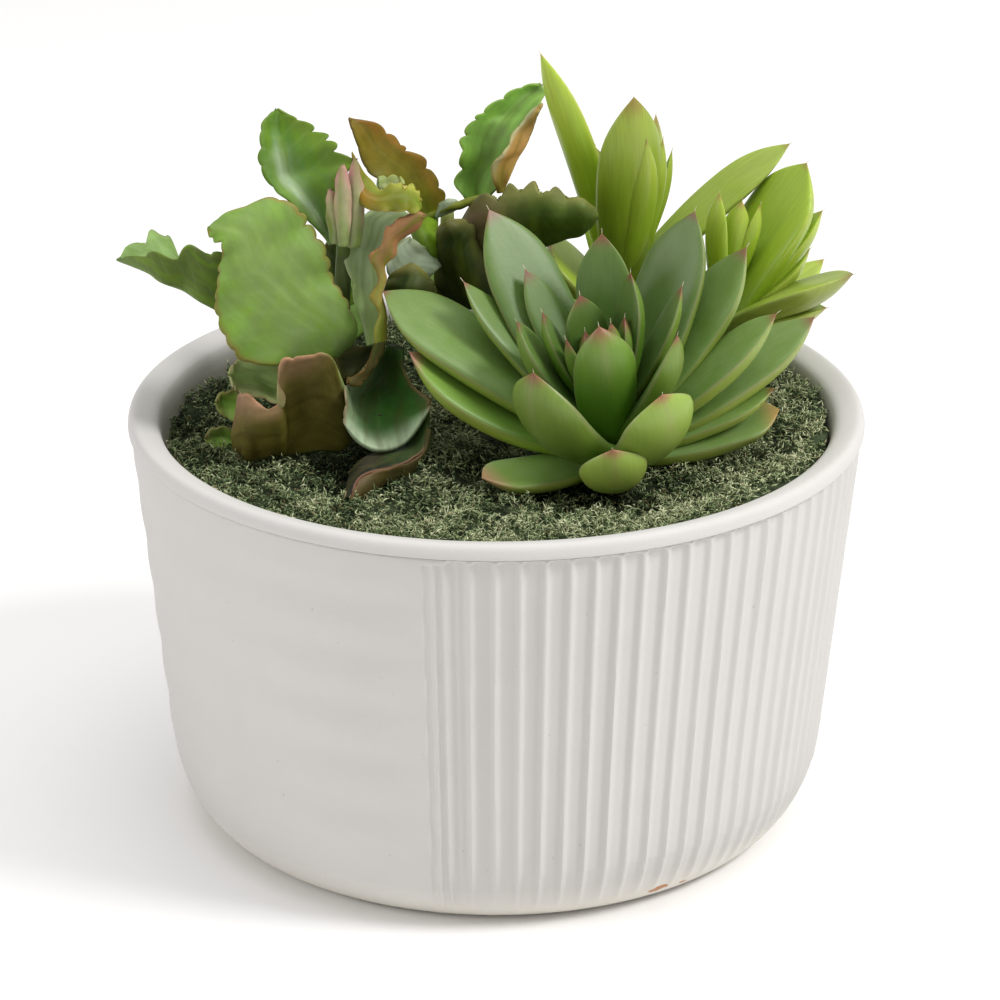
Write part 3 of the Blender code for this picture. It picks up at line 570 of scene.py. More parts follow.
def fleshyLeaf(base, turn, rise, length, width, depth, bend, roll, axes, look, draw):
    # a ring of points round the leaf's line: (width cos a, depth f(sin a)), nearly flat above and
    # keeled below, drawn in to a fine bristle at the tip
    bristle = look["bristle"] / length
    beyond = 1 + bristle * np.array([0.25, 0.6, 1.0])
    shares = np.concatenate([1 - (1 - np.linspace(0, 1, leafRows)) ** 1.35, beyond])
    path, right, upper = leafLine(base, turn, rise, length, shares, bend, roll, axes)
    angle = np.arange(leafSides) * 2 * np.pi / leafSides
    sine, cosine = np.sin(angle)[None], np.cos(angle)[None]
    share, leaf = shares[:, None], np.minimum(shares, 1)[:, None]
    below = -0.78 * np.abs(sine) ** (1.0 + look["keel"] * ease(share, 0.35, 0.95))
    lift = np.where(sine > 0, 0.22 * sine * (1.0 - look["hollow"] * sine**2), below)
    spike = 0.32 * (1.0 - ease(share, 0.9, 1 + bristle)) + 0.05
    half = np.maximum(width / 2 * fleshyProfile(leaf, look["widest"], look["root"], 1.3), spike)
    thick = np.maximum(depth * fleshyProfile(leaf, 0.5, 0.55, 1.0), 2 * spike)
    wave = 0.018 * width * np.sin(share * draw.uniform(5, 9) + draw.uniform(0, 6))
    rings = path[:, None] + right[:, None] * (half * cosine + wave)[..., None]
    rings = rings + upper[:, None] * (thick * lift)[..., None]
    points = np.vstack([rings.reshape(-1, 3), path[:1], path[-1:]])
    paint = fleshyPaint(share, sine, length, float(np.clip(1.15 - rise / 60.0, 0.0, 1.0)), look, draw)
    place = grid(half * cosine, share * length, draw.uniform(0, 90), 1.0)
    ends = lambda values: np.vstack([values.reshape(-1, 4), values[0, :1], values[-1, :1]])
    return points, *ringFaces(*rings.shape[:2]), ends(paint), ends(place)


def fleshyPaint(share, sine, length, age, look, draw):
    # lower face to upper face round the leaf, paler at the root and on the older, lower leaves, with a
    # coloured line along the margins and the keel, and a coloured tip; alpha is the bloom
    colours = {key: hexColour(code) for key, code in look["colours"].items()}
    upness = ease(sine, -0.2, 0.2) + 0 * share
    tone = look.get("tone", 1.0) * (1.0 + look["vary"] * draw.normal())
    colour = blend(blend(colours["lower"], colours["oldLower"], age),
                   blend(colours["upper"], colours["oldUpper"], age), upness)
    colour = blend(colour, colours["root"], 0.7 * (1.0 - ease(share, 0.05, 0.5)))
    colour = blend(colour, colours["far"], 0.6 * ease(share, 0.45, 1.0) * (1 - 0.5 * upness))
    margin = np.exp(-((sine / look["marginWidth"]) ** 2)) * ease(share, 0.2, 0.7)
    ridge = np.exp(-(((sine + 1) / 0.02) ** 2)) * ease(share, 0.55, 0.9) * look["ridge"]
    colour = blend(colour, colours["edge"], np.clip(look["margin"] * margin + ridge, 0, 1))
    tip = ease((share - 1) * length, -look["tipLength"] * draw.uniform(0.7, 1.3), -0.2)
    tipColour = hexColour(look.get("tip", look["colours"]["tip"]))
    colour = blend(colour, tipColour, np.clip(tip * (0.75 + 0.25 * margin), 0, 1))
    colour = blend(colour, colours["bristle"], ease(share, 1.0, 1.005))
    alpha = look["bloomShare"] * (0.3 + 0.7 * age) * (0.4 + 0.6 * upness) * (1 - 0.8 * tip)
    return grid(*np.moveaxis(np.clip(colour * tone, 0, 1), -1, 0), alpha)


def stemLine(foot, bends):
    # from its hole in the soil up through the moss to the stem's own points
    return np.array([(*foot, stemStart), (*foot, moss["level"] + 1.0), *bends], float)


def stemTube(points, radii, colour, draw):
    # a round stem through its points, with a slow swelling of 4% along it
    line = smoothLine(points, 2.5)
    height = line[:, 2]
    radius = np.interp(height, points[:, 2], radii) * (1 + 0.04 * np.sin(height / 3.0))
    angle = np.arange(stemSides) * 2 * np.pi / stemSides
    rings = line[:, None] + radius[:, None, None] * grid(np.cos(angle), np.sin(angle), 0.0)
    points = np.vstack([rings.reshape(-1, 3), line[:1], line[-1:]])
    paint = np.tile([*hexColour(colour), 0.0], (len(points), 1))
    place = grid(0.0, points[:, 2], draw.uniform(0, 9), 1.0)
    return points, *ringFaces(*rings.shape[:2]), paint, place


# each leaf: turn, rise, length, width, bend, height on the crown, roll, and its kind if it has one
rosette = {
    "foot": (27.5, -21.0), "crown": (27.5, -21.0, 99.0), "lean": 15, "toward": -30,
    "stemTop": 13.0, "radii": (5.0, 5.0, 5.0, 3.0), "depth": 0.36, "seed": 3,
    "leaves": [
        (-60, 15, 36, 14, 6, -1, 0, "flush"), (2, 35, 33, 16, 66, 0, 0, "low"),
        (97, 4, 41, 16, 16, 0, 0, "dry"),
        (96, 12, 41, 12, 10, 1, 0), (106, 21, 57, 18, 10, 1, 0), (-98, 33, 54, 17, 30, 1, 0, "fresh"),
        (-112, 35, 65, 21, -10, 2, 0, "blunt"), (33, 46, 39, 20, 50, 2, 0, "round"),
        (-38, 56, 43, 20, 50, 2, 0), (93, 34, 51, 15, 8, 3, 0), (120, 39, 55, 17, 10, 4, 0),
        (134, 50, 56, 19, 10, 5, 0), (-143, 52, 60, 19, 8, 5, 0), (168, 66, 46, 14, 14, 7, 0),
        (-119, 47, 50, 10, 14, 5, 0), (-141, 55, 42, 10, 14, 7, 0), (8, 77, 39, 15, 20, 3, 0),
        (66, 57, 38, 13, 20, 4, 0), (104, 56, 39, 8, 14, 8, 0), (119, 73, 38, 11, 12, 9, 0),
        (-94, 61, 37, 12, 18, 6, 0), (-98, 69, 33, 8, 14, 9, 0), (-150, 81, 32, 11, 10, 10, 0),
        (100, 74, 26, 8, 8, 11, 0), (-102, 84, 23, 7, 6, 11, 0), (-64, 73, 26, 6, 6, 10, 0),
        (56, 80, 27, 7, 6, 11, 0), (-166, 34, 40, 14, 6, 3, 0), (152, 22, 40, 14, 6, 2, 0),
    ],
    "look": {
        "widest": 0.58, "root": 0.62, "keel": 0.28, "hollow": 0.45, "bristle": 1.3, "vary": 0.06,
        "marginWidth": 0.12, "margin": 0.4, "ridge": 0.2, "tipLength": 3.6, "bloomShare": 0.32,
        "colours": {"upper": "#375a10", "lower": "#4c7410", "oldUpper": "#6a8c34", "oldLower": "#b4c252",
                    "root": "#5f8a0c", "far": "#7c9440", "edge": "#a08a72", "tip": "#8f3c48",
                    "bristle": "#d9c9b0"},
    },
    "kinds": {
        "flush": {"tip": "#b07868", "tipLength": 9.0, "widest": 0.72, "bristle": 0.3, "tone": 1.35},
        "round": {"tip": "#8f3c48", "tipLength": 2.8, "widest": 0.66, "bristle": 0.9, "tone": 1.22},
        "dry": {"tip": "#cf9a68", "tipLength": 5.5, "widest": 0.74, "bristle": 0.3},
        # the low leaf is brightened 1.5 times: painted light on a leaf that lies in shade
        "low": {"tip": "#8f3c48", "tipLength": 3.4, "widest": 0.66, "bristle": 0.7, "tone": 1.5},
        "blunt": {"tip": "#8f3c48", "tipLength": 2.8, "widest": 0.66, "bristle": 0.6},
        "fresh": {"tip": "#b06470", "tipLength": 5.0, "widest": 0.6, "bristle": 0.5, "bloomShare": 0.1,
                  "tone": 1.35},
    },
    "material": {"glow": 0.16, "cloudSize": 6.0, "bloom": "#a5b48c", "streaks": 0.07, "gloss": 0.4,
                 "fleck": "#c9d2b8"},
}
pointed = {
    "look": {
        "widest": 0.48, "root": 0.6, "keel": 0.45, "hollow": 0.6, "bristle": 0.9, "vary": 0.07,
        "marginWidth": 0.12, "margin": 0.45, "ridge": 0.2, "tipLength": 2.5, "bloomShare": 0.3,
        "colours": {"upper": "#8fae1a", "lower": "#8ca91f", "oldUpper": "#a8bc3c", "oldLower": "#b4bc50",
                    "root": "#6c8c0a", "far": "#abba4c", "edge": "#b0ae62", "tip": "#9a7248",
                    "bristle": "#c8b48a"},
    },
    "kinds": {
        "slim": {"widest": 0.6, "root": 0.45, "margin": 0.9, "marginWidth": 0.22, "tone": 1.25},
        "blunt": {"tipLength": 5.0, "widest": 0.58, "bristle": 0.5, "tone": 0.8},
        "deep": {"widest": 0.6, "tone": 0.82},
        "pale": {"widest": 0.58, "tone": 1.12},
    },
    "material": {"glow": 0.22, "cloudSize": 9.0, "bloom": "#bcc88c", "streaks": 0.12, "gloss": 0.36,
                 "fleck": "#c9d2b8"},
}
leftHead = {
    **pointed, "foot": (33.0, 36.0), "crown": (31.0, 34.0, 114.0), "lean": 4, "toward": -90,
    "stemTop": 8.0, "radii": (3.2, 3.2, 3.2, 2.4), "depth": 0.3, "seed": 5,
    "leaves": [
        (-66, 76, 70, 10, -14, 2, 30, "slim"), (22, 74, 58, 17, 6, 4, 0, "blunt"),
        (72, 76, 49, 13, 6, 4, 0, "blunt"), (30, 69, 48, 10, 8, 4, 0), (60, 70, 43, 9, 8, 6, 0),
        (92, 67, 38, 7, 8, 6, 0), (78, 70, 38, 7, 8, 7, 0), (99, 37, 56, 12, -18, 5, 25, "deep"),
        (-95, 50, 26, 24, 10, 0, 0, "deep"), (165, 64, 48, 14, 8, 2, 0), (-170, 56, 40, 12, 8, 3, 0),
    ],
}
rightHead = {
    **pointed, "foot": (50.0, 26.0), "crown": (54.0, 24.0, 113.0), "lean": 10, "toward": 85,
    "stemTop": 10.0, "radii": (3.2, 3.2, 3.2, 2.4), "depth": 0.3, "seed": 7,
    "leaves": [
        (116, 68, 43, 25, -10, 4, 0, "pale"), (98, 57, 37, 14, 0, 3, 0, "pale"),
        (100, 48, 29, 12, 0, 2, 0, "pale"), (66, 37, 39, 20, -20, 1, 0, "deep"),
        (72, 27, 29, 14, -10, 0, 0, "deep"), (-60, 76, 30, 8, 8, 7, 0, "pale"),
        (-10, 84, 27, 7, 8, 8, 0, "pale"), (60, 80, 27, 6, 8, 8, 0), (165, 40, 38, 12, 8, 2, 0),
        (128, 26, 36, 12, 8, 0, 0),
    ],
}


def makeHead(name, node, head, material, slot):
    draw = np.random.default_rng(head["seed"])
    # the head leans by a turn about a level axis, square to the way it leans
    toward = math.radians(head["toward"])
    axis = (math.cos(toward), math.sin(toward), 0.0)
    axes = np.array(mathutils.Matrix.Rotation(math.radians(head["lean"]), 3, axis))
    crown, up = np.array(head["crown"]), axes[:, 2]
    line = stemLine(head["foot"], [crown, crown + up * head["stemTop"]])
    parts = [stemTube(line, head["radii"], headStemColour, draw)]
    for turn, rise, length, width, bend, height, roll, *kind in head["leaves"]:
        depth = head["depth"] * width + 1.5
        look = {**head["look"], **(head["kinds"][kind[0]] if kind else {})}
        base = crown + up * height
        parts.append(fleshyLeaf(base, turn, rise, length, width, depth, bend, roll, axes, look, draw))
    makePiece(name, parts, material, node, slot)


# Toothed plant

# rows of points for each row of a net and each tooth of a blade, points across, and a blade's fold
netRows, netColumns = 15, 25
bladeRows, bladeColumns, bladeFold = 10, 21, 20


def notchCut(shares, notches, lobe):
    # how far a margin is cut back, in mm: each notch, (share, depth), is sharp, and the rounded lobe
    # between two of them comes out by |sin(pi q^lean)|^roundness
    places, depths = np.array([(-0.05, 0.0), *notches, (1.05, 0.0)]).T
    k = np.clip(np.searchsorted(places, shares, side="right") - 1, 0, len(places) - 2)
    q = (shares - places[k]) / (places[k + 1] - places[k])
    out = np.abs(np.sin(np.pi * np.clip(q, 0, 1) ** lobe[0])) ** lobe[1]
    return (1.0 - out) * (depths[k] * (1.0 - q) + depths[k + 1] * q)


def evenNotches(count, depth, start=0.15):
    return [(start + (1.0 - start) * (k + 0.4) / count, depth) for k in range(count)]


def edgeWave(shares, across, waves):
    # a sine along each edge, out of step on the two sides, which grows outward as |u|^1.6
    wave = np.sin(2 * np.pi * waves * shares[:, None] + 1.4 * np.sign(across)) * np.abs(across) ** 1.6
    return wave * np.clip((shares - 0.1) / 0.3, 0, 1)[:, None]


def faceNormal(sheet):
    return unit(np.cross(np.gradient(sheet, axis=0), np.gradient(sheet, axis=1)))


def netSurface(net, first, last, ruffle=(0.3, 2.5), end=0.93, lobe=(1.2, 0.5)):
    # a smooth sheet through a net of points, root to tip by edge to edge; its first and last edges are
    # cut back at their notches, wave by ruffle (height, waves) and round in from the share end on
    shares = np.linspace(0, 1, netRows * (len(net) - 1) + 1)
    lines = spline(net, shares)
    line = np.linspace(-1, 1, netColumns)
    across = 0.45 * np.sin(line * np.pi / 2) + 0.55 * line
    gap = grid(notchCut(shares, first, lobe), notchCut(shares, last, lobe))
    half = np.linalg.norm(lines[:, [0, -1]] - lines[:, [lines.shape[1] // 2]], axis=-1)
    cut = np.minimum(gap / np.maximum(half, 1.0), 0.7)
    close = np.sqrt(1.0 - ease(shares, end, 1.0) * 0.999) if end < 1.0 else np.ones(len(shares))
    side = (across > 0).astype(int)
    reached = across * close[:, None] * (1 - cut[:, side] * np.abs(across) ** 3)
    # each row's curve is read across at the places reached
    sheet = spline(np.moveaxis(lines, 1, 0), (reached + 1) / 2, np.arange(len(shares))[:, None])
    sheet = sheet + faceNormal(sheet) * (ruffle[0] * edgeWave(shares, across, ruffle[1]))[..., None]
    return sheet, shares, across, np.clip(gap / 1.5, 0, 1)[:, side], half[:, side] * np.abs(across)


def bladeSurface(base, turn, rise, length, width, bend=0.0, roll=0.0, ruffle=0.0, teeth=6, notch=1.0):
    # each half rises by bladeFold degrees from the midrib and waves by ruffle; from the stalk it swells as
    # sin(pi t^0.85)^0.6, and its edge is cut back by notch, in mm, between its teeth
    stalk = np.linspace(0, 0.16, 8, endpoint=False)
    shares = np.concatenate([stalk, np.linspace(0.16, 1.0, teeth * bladeRows)])
    path, right, upper = leafLine(base, turn, rise, length, shares, bend, roll)
    line = np.linspace(-1, 1, bladeColumns)
    across = 0.5 * np.sin(line * np.pi / 2) + 0.5 * line
    reach, fold = np.abs(across), math.radians(bladeFold)
    gap = notchCut(shares, evenNotches(teeth, notch, 0.2), (1.2, 0.5))[:, None]
    along = np.clip((shares - 0.12) / 0.88, 0, 1)
    least = 0.16 + 0.06 * along
    swell = least + (1 - least) * np.sin(np.pi * along**0.85) ** 0.6 * ease(shares, 0.1, 0.2)
    half = (width / 2 * swell * np.sqrt(1.0 - ease(shares, 0.9, 1.0) * 0.999))[:, None]
    half = half - np.minimum(gap, 0.6 * half) * reach**3
    height = half * reach * math.sin(fold) + ruffle * edgeWave(shares, across, 2.0)
    sheet = path[:, None] + right[:, None] * (half * across * math.cos(fold))[..., None]
    return sheet + upper[:, None] * height[..., None], shares, across, gap + 0 * across, half * reach


def leafSolid(surface, length, colours, draw, thick=1.2):
    # the sheet thickened by half of thick to each side, thinner towards a rounded edge, with a
    # shallow groove over the midrib
    sheet, shares, across, gap, outward = surface
    rows, columns = sheet.shape[:2]
    share, reach, normal = shares[:, None], np.abs(across), faceNormal(sheet)
    rounded = np.sqrt(np.clip(1 - reach**7, 0, 1))
    depth = thick / 2 * (1 - 0.3 * reach) * rounded * (1.0 + 0.4 * (1 - ease(share, 0.05, 0.2)))
    groove = 0.08 * np.exp(-((reach / 0.09) ** 2)) * ease(1.02 - share, 0.0, 0.3)
    top = sheet + normal * (depth - groove)[..., None]
    under = sheet - normal * (depth + 0.6 * groove)[..., None]
    ring = np.concatenate([top, under[:, -2:0:-1]], 1)
    count = ring.shape[1]
    # both ends are closed by strips between the upper and the under face
    near = np.arange(1, columns - 2)
    strip = grid(near, near + 1, count - near - 1, count - near)
    corners = np.array([[0, 1, count - 1], [columns - 2, columns - 1, count - columns + 2]])
    far = (rows - 1) * count
    quads = np.vstack([ringFaces(rows, count)[0], strip[:, ::-1], strip + far])
    triangles = np.vstack([corners[:, ::-1], corners + far])
    isTop = np.repeat([1.0, 0.0], [columns, columns - 2])[None]
    around = lambda values: np.concatenate([values, values[:, -2:0:-1]], 1)
    paint = bladePaint(share, around(across[None]), isTop, around(gap), colours, draw)
    place = grid(around(outward * np.sign(across)), share * length, draw.uniform(0, 90), 1.0)
    return ring.reshape(-1, 3), quads[:, ::-1], triangles[:, ::-1], paint.reshape(-1, 4), place.reshape(-1, 4)


def bladePaint(share, across, isTop, gap, colours, draw):
    # face colours, a pale stripe by the midrib that is partly painted sheen, a flush that grows towards
    # each margin and the tip, and a thin coloured rim
    top, under, root, flush, edge, ribColour = (hexColour(code) for code in colours["tints"])
    reach, left = np.abs(across), across < 0
    colour = blend(under, top, isTop + 0 * share)
    colour = blend(colour, root, 0.7 * (1 - ease(share, 0.1, 0.5)) * (1 - 0.6 * reach))
    ribPlace, ribWidth, ribShare = colours["rib"]
    offRib = (across - ribPlace * (1 - share)) / (ribWidth * (1.1 - share) + 0.03)
    # the stripe by the midrib: partly its pale colour, partly painted sheen
    colour = blend(colour, ribColour, ribShare * np.exp(-(offRib**2)) * (1 - ease(share, 0.5, 0.85)))
    flushed = np.where(left, *colours["sides"]) * ease(reach + 0.25 * (share - 0.5), 0.1, 0.95)
    flushed = flushed * ease(share, 0.05, 0.35) + colours["tipFlush"] * ease(share, colours["tipFrom"], 1.0)
    colour = blend(colour, flush, np.clip(flushed, 0, 1))
    rim = ease(reach, 0.88, 0.98) * ease(share, 0.1, 0.25) * np.where(left, *colours["rim"])
    colour = blend(colour, edge, np.clip(rim * (0.75 + 0.25 * gap), 0, 1))
    tone = 1.0 + 0.05 * draw.normal()
    return grid(*np.moveaxis(np.clip(colour * tone, 0, 1), -1, 0), colours["bloom"] * isTop * (1 - rim))


def tints(codes, sides=(0.3, 0.3), tipFlush=0.1, tipFrom=0.55, rim=0.6, bloom=0.08, rib=(0.0, 0.02, 0.0)):
    # colours of the upper face, under face, root, flush, edge and the stripe by the midrib, which is partly
    # painted sheen, and how far each one reaches
    codes = codes.split()
    return {"tints": codes if len(codes) > 5 else [*codes, codes[0]], "sides": sides, "tipFlush": tipFlush,
            "tipFrom": tipFrom, "rim": rim if isinstance(rim, tuple) else (rim, rim), "bloom": bloom,
            "rib": rib}


greenTints = tints("#5c8024 #5f7a30 #7a9440 #6f9a34 #7d7a3c", rim=0.35)
# the pale stripe beside the midrib is partly a pale midrib and partly painted sheen
upperTints = tints("#456f14 #7d9050 #4c780f #66780c #54621a #95a884", sides=(0.5, 0.2), rim=0.35,
                   rib=(0.42, 0.45, 1.0))
wideTints = tints("#6c8838 #6a8636 #4a6a0c #5f8a10 #8c5c40", sides=(0.4, 0.6), rim=0.8, bloom=0.3)
farTints = tints("#82a05c #50641a #3c5a0c #7c9a52 #74783c", sides=(0.2, 0.0), rim=0.45)
innerTints = tints("#9aac80 #64803c #7a9c20 #a0ae88 #b8705c", sides=(0.1, 0.2), rim=0.2, bloom=0.35)
flapTints = tints("#946c44 #8c683e #8aa81c #9c684a #b06450", sides=(0.3, 0.1), tipFlush=0.2, rim=0.5,
                  bloom=0.0)
yellowTints = tints("#646812 #646812 #8c560c #989a3c #c0a258", sides=(0.1, 0.7), tipFlush=0.6, rim=0.7,
                    bloom=0.0)
paleLobeTints = tints("#949f64 #949f64 #949f64 #9ea452 #b09c60", bloom=0.0)
youngTints = tints("#96906c #a0947c #7c8c58 #b07c78 #b4787a", sides=(0.4, 0.4), tipFlush=0.95, rim=0.4)
oliveTints = tints("#74691a #80662a #647a18 #8a6220 #64482a", sides=(0.75, 0.0), tipFlush=0.35, bloom=0.0)
tallTints = tints("#76a044 #c88a52 #629418 #689a26 #86943f", sides=(0.0, 0.6), rim=0.45, bloom=0.15)
tallFlapTints = tints("#cc9a50 #cc9a50 #8c9030 #c8c898 #c88c48", sides=(0.1, 0.95), rim=0.5, bloom=0.0)
lobedTints = tints("#3c5210 #3c3c1c #7c5c4c #70703a #64502c", sides=(0.0, 0.95), rim=0.3, bloom=0.0)
# painted shade: near black greens for leaves, or parts of them, that lie in shadow between the others
paintedShadeTints = tints("#22340a #28380e #0e1404 #78703a #5c5024", tipFlush=0.75, tipFrom=0.6, rim=0.3, bloom=0.0)
paleTints = tints("#93a086 #93a086 #86987a #a5b094 #8f9070", rim=0.3)
limeTints = tints("#5a7a10 #5a7a10 #6c8c14 #7c9c20 #6f7a20", rim=0.3)
stalkTints = tints("#6c7418 #6c7418 #7c8c1c #6c7418 #5a4c18", rim=0.3)
wallTints = tints("#93a462 #645e22 #3e3a10 #98765a #bc8a6c", sides=(0.0, 0.8), rim=(0.0, 0.95), bloom=0.1)
# its near black root colour is painted shade deep in the funnel
hollowTints = tints("#2c6014 #4c4420 #0e2406 #a2b492 #a8745c", sides=(0.6, 0.0), tipFlush=0.95, tipFrom=0.8,
                    rim=0.7)
# the crescent's flush is near black: painted shadow under the hollow leaf, growing from the root to the tip
crescentTints = tints("#365a1c #4c4420 #2c5018 #080f03 #9c6a54", sides=(0.6, 0.0), tipFlush=1.3,
                      tipFrom=-0.1, rim=(0.0, 0.75))
footTints = tints("#4a4214 #3c3c12 #42460f #5c4220 #7c5040", sides=(0.4, 0.1), tipFlush=0.4, rim=0.45)
curledTints = tints("#4c4c12 #4a4214 #3c4c0c #6c5220 #9c7048", sides=(0.2, 0.3), rim=0.7, bloom=0.0)
# painted light: the leaf behind the low wall is made paler where it lies in the wide leaf's shade
paintedLightBackTints = tints("#a8c07c #a0b870 #7ca038 #b08c74 #a87860", sides=(0.1, 0.3), rim=0.6)
stubTints = tints("#74a034 #74a034 #5f8a1c #9a9c5c #9c805c", sides=(0.4, 0.4), tipFlush=0.5, rim=0.7)
youngLeaf = dict(colours=youngTints, first=[(0.6, 0.3)], last=[(0.6, 0.3)])
stubLeaf = dict(colours=stubTints, first=[(0.6, 0.5)], last=[(0.6, 0.5)])

# A net runs from the root to the tip. Each row holds the x, y and z of points from one edge to the
# other, so that the face towards the eye is the upper one. A leaf with no net is worked out from its
# height on the stem, turn, rise, length, width and bends
leftLeaves = [
    dict(colours=upperTints, end=0.965, first=[(0.53, 3.2), (0.64, 2.4), (0.75, 3.2), (0.89, 1.4)],
         last=[(0.44, 0.9), (0.56, 0.8), (0.7, 1.0), (0.82, 0.7)], net=[
        (-38, -3, 145, -39, -2, 144, -39, -3, 145), (-38, -3, 153, -42, -1, 151, -45, -4, 151),
        (-35, -3, 162, -46, 0, 157, -49, -3, 155), (-33, -2, 165, -49, 3, 160, -53, -1, 157),
        (-37, 0, 168, -50, 4, 164, -56, 0, 163), (-40, 3, 170, -51, 6, 167, -56, 2, 167),
        (-45, 6, 172, -52, 8, 170, -56, 5, 171), (-49, 8, 173, -52, 9, 174, -54, 7, 173)]),
    dict(colours=wideTints, ruffle=(0.9, 5.0), end=0.965,
         first=[(0.24, 1.0), (0.3, 0.9), (0.36, 1.1), (0.42, 1.3), (0.48, 1.0), (0.54, 1.2), (0.6, 1.3),
                (0.66, 1.0), (0.74, 0.7), (0.84, 0.6), (0.94, 0.8)],
         last=[(0.3, 0.6), (0.38, 0.9), (0.44, 0.8), (0.5, 1.2), (0.56, 0.9), (0.61, 0.8), (0.66, 1.0),
               (0.71, 0.9), (0.83, 2.4), (0.94, 0.9)], net=[
        (-35, -5, 119, -36, -5, 118, -37, -6, 117), (-33, -7, 124, -38, -10, 122, -44, -14, 119),
        (-34, -7, 129, -41, -13, 128, -53, -20, 120), (-37, -8, 135, -47, -15, 133, -60, -22, 122),
        (-39, -8, 141, -52, -16, 139, -64, -22, 128), (-42, -8, 149, -56, -17, 144, -66, -21, 136),
        (-46, -9, 155, -58, -17, 149, -65, -20, 143), (-53, -11, 159, -60, -17, 152, -64, -19, 148),
        (-62, -14, 156, -64, -17, 153, -66, -18, 150), (-67, -15, 154, -67, -17, 153, -67, -17, 151)]),
    dict(colours=farTints, lobe=(2.4, 0.5), first=[(0.525, 4.6), (0.62, 1.0), (0.77, 4.6)],
         last=[(0.35, 2.6), (0.545, 4.4), (0.76, 1.6)], ruffle=(0.3, 3.0), net=[
        (-36, 1, 119, -37, 0, 118, -37, -3, 118), (-50, 3, 127, -49, -5, 126, -49, -9, 129),
        (-61, 6, 136, -61, -8, 128, -60, -15, 144), (-70, 7, 139, -69, -9, 132, -68, -17, 149),
        (-75, 7, 139, -74, -8, 135, -72, -16, 149), (-79, 7, 144, -79, -8, 137, -78, -15, 147),
        (-83, 6, 145, -82, -7, 139, -82, -13, 146), (-87, 4, 143, -86, -5, 140, -85, -9, 144),
        (-90, 0, 141, -90, -1, 140, -90, -3, 141)]),
    dict(colours=innerTints, first=evenNotches(5, 0.6), last=[(0.36, 1.4), (0.55, 1.0), (0.75, 0.6)],
         ruffle=(0.5, 3.0), net=[
        (-28, -10, 122, -30, -9, 121, -31, -9, 121), (-27, -9, 127, -30, -7, 126, -32, -8, 126),
        (-27, -8, 133, -31, -5, 131, -34, -7, 132), (-26, -8, 138, -31, -4, 136, -35, -6, 136),
        (-26, -8, 142, -31, -2, 141, -36, -5, 142), (-24, -7, 145, -30, 0, 145, -36, -4, 146),
        (-21, -6, 147, -29, 1, 149, -34, -2, 149), (-19, -5, 150, -26, 1, 151, -31, 1, 151),
        (-18, -4, 152, -24, 1, 152, -28, 2, 152)]),
    dict(colours=flapTints, first=evenNotches(7, 0.3), ruffle=(0.3, 4.0), end=0.97,
         last=[(0.2, 1.0), (0.4, 0.8), (0.56, 1.6), (0.65, 1.2), (0.74, 1.8), (0.85, 1.0)], net=[
        (-26, -11, 123, -28, -12, 123, -29, -12, 123), (-26, -10, 125, -28, -12, 126, -29, -12, 126),
        (-26, -10, 130, -27, -11, 130, -28, -11, 130), (-27, -10, 135, -28, -11, 134, -30, -11, 134),
        (-26, -9, 138, -27, -10, 138, -28, -10, 138), (-26, -9, 141, -28, -10, 143, -30, -10, 144),
        (-24, -8, 143, -26, -10, 146, -27, -10, 147), (-23, -7, 146, -25, -10, 149, -26, -10, 151),
        (-20, -6, 148, -22, -9, 151, -23, -9, 153), (-18, -6, 150, -19, -8, 153, -20, -8, 154),
        (-17, -6, 152, -17, -7, 153, -18, -7, 154)]),
    dict(colours=yellowTints, first=evenNotches(4, 0.4),
         last=[(0.36, 1.6), (0.5, 1.2), (0.62, 3.4), (0.76, 3.0), (0.89, 2.4)], ruffle=(0.6, 4.0),
         lobe=(1.8, 0.8), net=[
        (-33, -6, 156, -33, -4, 161, -34, -1, 167), (-30, -9, 155, -31, -6, 158, -31, -2, 162),
        (-27, -11, 155, -28, -8, 157, -28, -3, 159), (-24, -11, 155, -24, -9, 158, -24, -4, 160),
        (-21, -11, 155, -21, -9, 158, -21, -4, 160), (-19, -9, 154, -19, -7, 156, -18, -3, 158),
        (-18, -6, 154, -18, -5, 154, -18, -3, 154)]),
    dict(colours=paleLobeTints, first=[(0.6, 0.3)], last=[(0.35, 1.0), (0.62, 1.0)], net=[
        (-28, 0, 157, -28, 0, 158, -28, 1, 160), (-26, 0, 157, -26, 1, 158, -26, 2, 160),
        (-24, 0, 157, -23, 1, 158, -23, 2, 160), (-22, 0, 157, -22, 0, 158, -22, 1, 159)]),
    dict(youngLeaf, net=[
        (-37, -6, 146, -38, -7, 146, -39, -6, 146), (-37, -6, 151, -38, -7, 151, -40, -6, 151),
        (-37, -6, 155, -39, -7, 156, -40, -6, 155), (-38, -5, 158, -39, -6, 159, -39, -5, 158)]),
    dict(youngLeaf, net=[
        (-35, -8, 146, -36, -9, 146, -37, -8, 146), (-34, -8, 153, -36, -9, 154, -38, -8, 154),
        (-34, -7, 159, -36, -8, 160, -38, -7, 160), (-35, -6, 164, -36, -6, 165, -37, -6, 164)]),
    dict(youngLeaf, net=[
        (-32, -6, 145, -34, -7, 145, -35, -6, 145), (-31, -6, 153, -33, -7, 154, -35, -6, 153),
        (-31, -5, 159, -33, -6, 160, -35, -5, 160), (-33, -4, 164, -33, -4, 166, -34, -4, 165)]),
    dict(colours=paintedShadeTints, first=evenNotches(4, 0.6), last=evenNotches(4, 0.6), net=[
        (-34, 1, 128, -36, 0, 128, -38, 1, 128), (-35, 2, 135, -37, 0, 135, -40, 2, 135),
        (-35, 2, 141, -38, 1, 142, -41, 2, 141), (-36, 2, 145, -38, 2, 146, -40, 2, 145)]),
    dict(colours=greenTints, height=112, turn=-160, rise=24, length=38, width=25, ruffle=1.6, bend=-30,
         notch=1.6),
]
